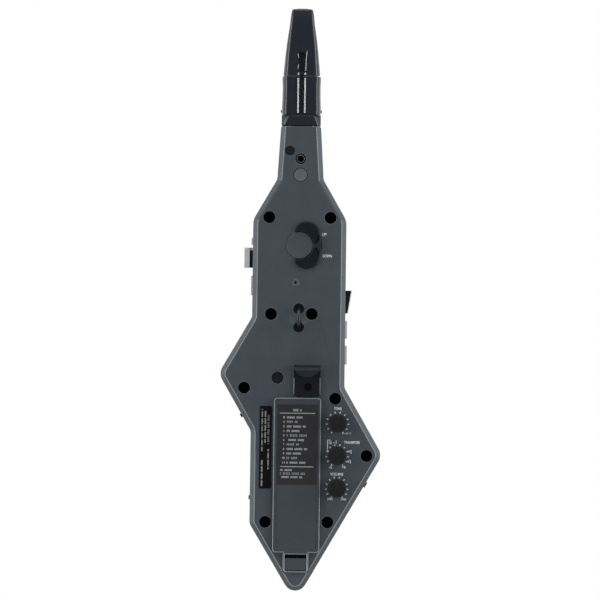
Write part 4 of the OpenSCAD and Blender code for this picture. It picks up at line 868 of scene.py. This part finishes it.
brightLines = []
for side in (-1, 1):
    for line in (mouth["rail"], mouth["stud"]):
        middle = (side * line["x"], line["y"], (line["low"] + line["high"]) / 2)
        strip = rodPiece("strip", middle, line["radius"], line["high"] - line["low"], "Z", line["sides"])
        bevelEdges(strip, *mouth["stripEdge"])
        brightLines.append(strip)
for low, high, y, radius in mouth["rims"]:
    run, rise = high[0] - low[0], high[1] - low[1]
    strip = rodPiece("strip", (0, y, 0), radius, math.hypot(run, rise), "Z", mouth["rimSides"])
    strip.rotation_euler = (-math.atan2(*mouth["rimSlope"]), math.atan2(run, rise), 0)
    strip.location = ((low[0] + high[0]) / 2 * mm, 0, (low[1] + high[1]) / 2 * mm)
    bakePlace(strip)
    brightLines.append(strip)
mouthRails = joinPieces(brightLines, "mouthpiece_rails")
smoothByAngle(mouthRails, mouth["stripSmoothAngle"])
finishPiece(mouthRails, materials["bright_metal"], "mouthpiece")
print("mouthpiece built")


# Ribs on the octave keys: arcs around the thumb rest

ribs = {"radii": (12.5, 13.7, 14.9, 16.1, 17.3), "width": 0.45, "rise": 0.22, "sunk": 0.2, "slice": 0.02,
        "steps": 18, "edge": (0.1, 1, 40), "smoothAngle": 40, "endShare": 0.5, "restZ": 56.8, "keyX": 5.45,
        "keyZ": 8.45, "keyRadius": 8.9, "tip": 3.0, "left": -2.6, "face": -2.0}


def ribArc(radius, side):
    # a thin slice at the arc's start is spun along it; the arc's ends keep clear of the key's edges
    centre = math.hypot(ribs["keyX"], ribs["keyZ"])
    middle = math.atan2(ribs["keyZ"], ribs["keyX"])
    spread = math.acos((radius ** 2 + centre ** 2 - ribs["keyRadius"] ** 2) / (2 * radius * centre))
    start = max(middle - spread, math.asin(ribs["tip"] / radius))
    end = min(middle + spread, math.acos(ribs["left"] / radius))
    x, z = radius * math.cos(start), side * radius * math.sin(start) + ribs["restZ"]
    arc = boxPiece("rib", (x - ribs["width"] / 2, ribs["face"] - ribs["rise"], z - ribs["slice"]),
                   (x + ribs["width"] / 2, ribs["face"] + ribs["sunk"], z + ribs["slice"]))
    editAll(arc)
    bpy.ops.transform.rotate(value=side * start, orient_axis="Y",
                             center_override=(x * mm, ribs["face"] * mm, z * mm))
    leaveEdit()
    selectInEdit(arc, "FACE", lambda at, normal: normal.z * side > ribs["endShare"])
    bpy.ops.mesh.spin(steps=ribs["steps"], angle=-side * (end - start), center=(0, 0, ribs["restZ"] * mm),
                      axis=(0, 1, 0))
    bpy.ops.mesh.select_all(action="SELECT")
    bpy.ops.mesh.remove_doubles(threshold=mergeDistance)
    bpy.ops.mesh.normals_make_consistent(inside=False)
    leaveEdit()
    return arc


for side, body in ((1, "octave_up_key"), (-1, "octave_down_key")):
    arcs = joinPieces([ribArc(radius, side) for radius in ribs["radii"]], body + "_ribs")
    bevelEdges(arcs, *ribs["edge"])
    smoothByAngle(arcs, ribs["smoothAngle"])
    # painted highlight: the ribs are a lighter blue-black than the keys
    finishPiece(arcs, ribHighlight, body)
print("ribs built")


# Printing: dial marks, control words and the lines of the labels

# words are set at this size before they are fitted, their strokes thickened; ink starts in the face, in mm
ink = {"wordSize": 2.0, "bolder": 0.05, "sunk": 0.01, "thickness": 0.04}


def inkStroke(x, z, width, height, turn=0.0):
    # a flat stroke on the rear face, in mm; turn is anticlockwise as seen from the rear
    bpy.ops.mesh.primitive_plane_add(size=1, location=(x * mm, 0, z * mm),
                                     rotation=(math.radians(90), math.radians(-turn), 0))
    stroke = bpy.context.object
    stroke.scale = (width * mm, height * mm, 1)
    return stroke


def inkWord(text, x, z, width, height):
    # a word centred on x and z, with this width and height in mm
    bpy.ops.object.text_add()
    word = bpy.context.object
    word.data.body = text
    word.data.align_x = "CENTER"
    word.data.align_y = "CENTER"
    word.data.size = ink["wordSize"] * mm
    word.data.offset = ink["bolder"] * mm
    activate(word)
    bpy.ops.object.convert(target="MESH")
    word = bpy.context.object
    wide, tall = word.dimensions[:2]
    word.scale = (width * mm / wide, height * mm / tall, 1)
    bakePlace(word)
    corners = [vertex.co for vertex in word.data.vertices]
    middle = [(min(c[k] for c in corners) + max(c[k] for c in corners)) / 2 for k in (0, 1)]
    word.rotation_euler = (math.radians(90), 0, 0)
    word.location = (x * mm - middle[0], 0, z * mm - middle[1])
    return word


def pressInk(marks, name, y, material, body):
    # joins flat marks, sets them on the plane y in mm and gives them the thickness of ink
    printing = joinPieces(marks, name)
    editAll(printing)
    bpy.ops.mesh.normals_make_consistent(inside=False)
    bpy.ops.transform.translate(value=(0, (y + ink["sunk"]) * mm, 0))
    bpy.ops.mesh.extrude_region_move(TRANSFORM_OT_translate={"value": (0, -ink["thickness"] * mm, 0)})
    bpy.ops.mesh.select_all(action="SELECT")
    bpy.ops.mesh.normals_make_consistent(inside=False)
    leaveEdit()
    finishPiece(printing, material, body)


dials = {"x": 31.4, "top": -81.7, "pitch": 25.35, "count": 3, "radius": 8.5, "length": 1.3, "width": 0.8,
         "angles": (13.6, 40.8, 68, 95, 122, 149)}
# the bracket beside the middle dial: x, z, width and height of its strokes, and their turn
bracket = ((23.8, -99.2, 0.6, 9.2), (24.9, -94.9, 2.4, 0.5), (24.9, -103.8, 2.2, 0.5, -30))
# text, x, z, width and height
caseWords = (
    ("TONE", 31.5, -70.4, 5.9, 2.1), ("VOLUME", 31.2, -121.5, 10.1, 2.3),
    ("TRANSPOSE", 42.7, -96.6, 12.2, 2.1), ("MIN", 26.2, -141.0, 3.8, 1.7),
    ("MAX", 36.8, -141.0, 4.2, 1.7), ("UP", 19.1, 65.3, 3.5, 2.4),
    ("DOWN", 21.6, 48.6, 7.3, 2.4), ("-2", 25.6, -96.8, 3.0, 2.4), ("-1", 29.6, -96.5, 2.4, 2.6),
    ("+2", 41.2, -103.8, 3.0, 2.6), ("+3", 40.6, -111.6, 3.0, 2.6), ("-5", 26.3, -116.0, 2.4, 2.4),
    ("+6", 36.6, -115.9, 3.0, 2.2), ("9 10 11", 38.4, -89.6, 6.6, 1.3))
marks = []
for i in range(dials["count"]):
    z = dials["top"] - i * dials["pitch"]
    for angle in [sign * a for a in dials["angles"] for sign in (-1, 1)]:
        turn = math.radians(angle)
        x, up = (dials["radius"] * share for share in (math.sin(turn), math.cos(turn)))
        marks.append(inkStroke(dials["x"] + x, z + up, dials["width"], dials["length"], -angle))
marks += [inkStroke(*stroke) for stroke in bracket]
marks += [inkWord(*word) for word in caseWords]
pressInk(marks, "case_printing", 0.0, inkWhite, "case")

# shares of a letter's height: its width, the thickness of its strokes, how far the outer ones lie from its
# middle and the step to the next letter; a word with its gap takes this many steps
pen = {"letter": 0.42, "upright": 0.19, "level": 0.17, "reach": 0.4, "step": 0.8, "word": 6}
# the strokes that a letter is made of: place along and up, width, height
letterStrokes = (
    (0.0, 0.0, pen["upright"], 1.0), (pen["letter"], 0.0, pen["upright"], 1.0),
    (pen["letter"] / 2, pen["reach"], pen["letter"], pen["level"]),
    (pen["letter"] / 2, -pen["reach"], pen["letter"], pen["level"]),
    (pen["letter"] / 2, 0.0, pen["letter"], pen["level"]))


def writingLine(x, z, glyphs, height, seed, turn=0.0):
    # strokes that stand for a line of small print without spelling anything
    strokes = []
    for k in range(glyphs):
        if (k + seed) % pen["word"] == pen["word"] - 1:
            continue
        step = k * height * pen["step"]
        for part, (dx, dz, wide, tall) in enumerate(letterStrokes):
            # two in five of the strokes after the first are left out, by a fixed rule
            if part and (seed * 7 + k * 5 + part * 3) % 5 < 2:
                continue
            along, up = step + dx * height, dz * height
            if turn:
                strokes.append(inkStroke(x - up, z + along, wide * height, tall * height, turn))
            else:
                strokes.append(inkStroke(x + along, z + up, wide * height, tall * height))
    return strokes


label = {"plane": -3.3, "first": -77.5, "pitch": 3.52, "rows": 11, "height": 1.55, "numberX": -10.4,
         "digit": 0.9, "textX": -7.9,
         # x, z, width and height of the two rules
         "rules": ((0.1, -74.2, 27.5, 0.4), (0.1, -115.9, 26.0, 0.4)),
         "head": {"x": -3.0, "z": -71.8, "glyphs": 5, "height": 1.7, "seed": 2},
         "foot": {"x": -12.8, "z": -118.6, "pitch": 2.7, "height": 1.45, "glyphs": (9, 17, 15), "seed": 3}}
marks = [inkStroke(*rule) for rule in label["rules"]] + writingLine(**label["head"])
for row in range(label["rows"]):
    z = label["first"] - row * label["pitch"]
    number = str(row + 1)
    marks.append(inkWord(number, label["numberX"], z, label["digit"] * len(number), label["height"]))
    # rows of 7 to 14 letters
    marks += writingLine(label["textX"], z, 7 + (row * 5 + 3) % 8, label["height"], row)
foot = label["foot"]
for row, glyphs in enumerate(foot["glyphs"]):
    z = foot["z"] - row * foot["pitch"]
    marks += writingLine(foot["x"], z, glyphs, foot["height"], row + foot["seed"])
pressInk(marks, "label_printing", label["plane"], inkLabel, "door")

plate = {"plane": -0.3, "height": 1.15, "turn": 90.0,
         # x, lower end and number of letters of each line
         "lines": ((-27.3, -131.2, 22), (-27.3, -104.0, 36), (-24.9, -97.5, 28), (-22.4, -118.0, 17),
                   (-22.4, -98.5, 26))}
marks = []
for seed, (x, low, glyphs) in enumerate(plate["lines"]):
    marks += writingLine(x, low, glyphs, plate["height"], seed, plate["turn"])
pressInk(marks, "plate_printing", plate["plane"], inkLabel, "case")
print("printing done")


# Lights: two tall soft boxes beside the object, one above and one behind, as in a product tent

studio = {
    "left": {"at": (-1.7, -0.65, 0.25), "size": (0.7, 1.6), "power": 16},
    "right": {"at": (1.7, -0.65, 0.25), "size": (0.7, 1.6), "power": 16},
    "above": {"at": (0.0, -0.9, 1.9), "size": (1.2, 0.8), "power": 8},
    "behind": {"at": (0.3, 1.7, 1.0), "size": (1.4, 1.0), "power": 12},
}
aim = Vector((0, 0.01, 0.01))
for name, box in studio.items():
    bpy.ops.object.light_add(type="AREA", location=box["at"])
    lamp = bpy.context.object
    lamp.name = "softbox_" + name
    lamp.rotation_euler = (aim - Vector(box["at"])).to_track_quat("-Z", "Y").to_euler()
    lamp.data.shape = "RECTANGLE"
    lamp.data.size, lamp.data.size_y = box["size"]
    lamp.data.energy = box["power"]

world = bpy.data.worlds.new("tent")
scene.world = world
world.use_nodes = True
sky = world.node_tree
backdrop = sky.nodes["Background"]
# The tent is white at its sides, top and floor, and dark where the photographer stands.
# Its light is even to the front and the rear, but a glossy edge also shows the white wall behind the object.
# The values: shares along Y at which the sides end and the walls begin, and the strengths of the dark wall,
# of the light as a whole and of the white wall
tent = {"sidesEnd": 0.5, "wallFrom": 0.93, "dark": 0.12, "light": 0.55, "white": 0.88}
rays = addNode(sky, "LightPath")
facing = addNode(sky, "SeparateXYZ", {0: addNode(sky, "TexCoord").outputs["Generated"]})
depth = addNode(sky, "Math", {0: facing.outputs["Y"]}, operation="ABSOLUTE")
wall = addNode(sky, "MapRange", {"Value": depth.outputs[0], "From Min": tent["sidesEnd"],
                                 "From Max": tent["wallFrom"], "To Min": 1.0, "To Max": tent["dark"]})
soft = addNode(sky, "Math", {0: wall.outputs[0], 1: tent["light"]}, operation="MULTIPLY")
behind = addNode(sky, "MapRange", {"Value": facing.outputs["Y"], "From Min": tent["sidesEnd"],
                                   "From Max": tent["wallFrom"], "To Max": tent["white"]})
glossy = addNode(sky, "Math", {0: wall.outputs[0], 1: behind.outputs[0]}, operation="ADD")
mirrored = addNode(sky, "Mix", {0: rays.outputs["Is Glossy Ray"], 2: soft.outputs[0], 3: glossy.outputs[0]},
                   data_type="FLOAT")
seen = addNode(sky, "Math", {0: rays.outputs["Is Camera Ray"], 1: rays.outputs["Is Transmission Ray"]},
               operation="MAXIMUM")
strength = addNode(sky, "Mix", {0: seen.outputs[0], 2: mirrored.outputs[0], 3: 1.0}, data_type="FLOAT")
backdrop.inputs["Color"].default_value = (1, 1, 1, 1)
sky.links.new(strength.outputs[0], backdrop.inputs["Strength"])

# Pale floor below the tip
floorPlan = {"drop": 30 * mm, "radius": 0.4, "sides": 96, "fadeFrom": 0.12, "fadeTo": 0.27}
bpy.ops.mesh.primitive_circle_add(vertices=floorPlan["sides"], radius=floorPlan["radius"], fill_type="NGON",
                                  location=(0, 0, cadBox[0][2] - floorPlan["drop"]))
floor = bpy.context.object
floor.name = "floor"
bakePlace(floor)
floorPaper, floorTree, floorShader, floorPlace = newMaterial("matWhitePaper", roughness=0.9)
fibre = addNode(floorTree, "TexNoise", {"Vector": floorPlace, "Scale": perMetre(patternSize["fibre"])})
paperTint = addNode(floorTree, "Mix", {0: fibre.outputs[0], 6: linearColour("#e9e9e9"),
                                       7: linearColour("#eeeeee")}, data_type="RGBA")
floorTree.links.new(paperTint.outputs[2], floorShader.inputs["Base Color"])
# its far part fades out, so that no edge of it shows
level = addNode(floorTree, "Mapping", {"Vector": floorPlace, "Scale": (1, 1, 0)})
reach = addNode(floorTree, "VectorMath", {0: level.outputs[0]}, operation="LENGTH")
fade = addNode(floorTree, "MapRange",
               {"Value": reach.outputs["Value"], "From Min": floorPlan["fadeFrom"],
                "From Max": floorPlan["fadeTo"]}, interpolation_type="SMOOTHSTEP")
clear = addNode(floorTree, "BsdfTransparent")
blend = addNode(floorTree, "MixShader", {0: fade.outputs[0], 1: floorShader.outputs[0], 2: clear.outputs[0]})
floorTree.links.new(blend.outputs[0], floorTree.nodes["Material Output"].inputs["Surface"])
floor.data.materials.append(floorPaper)

scene.view_settings.view_transform = "Standard"
print("studio set")
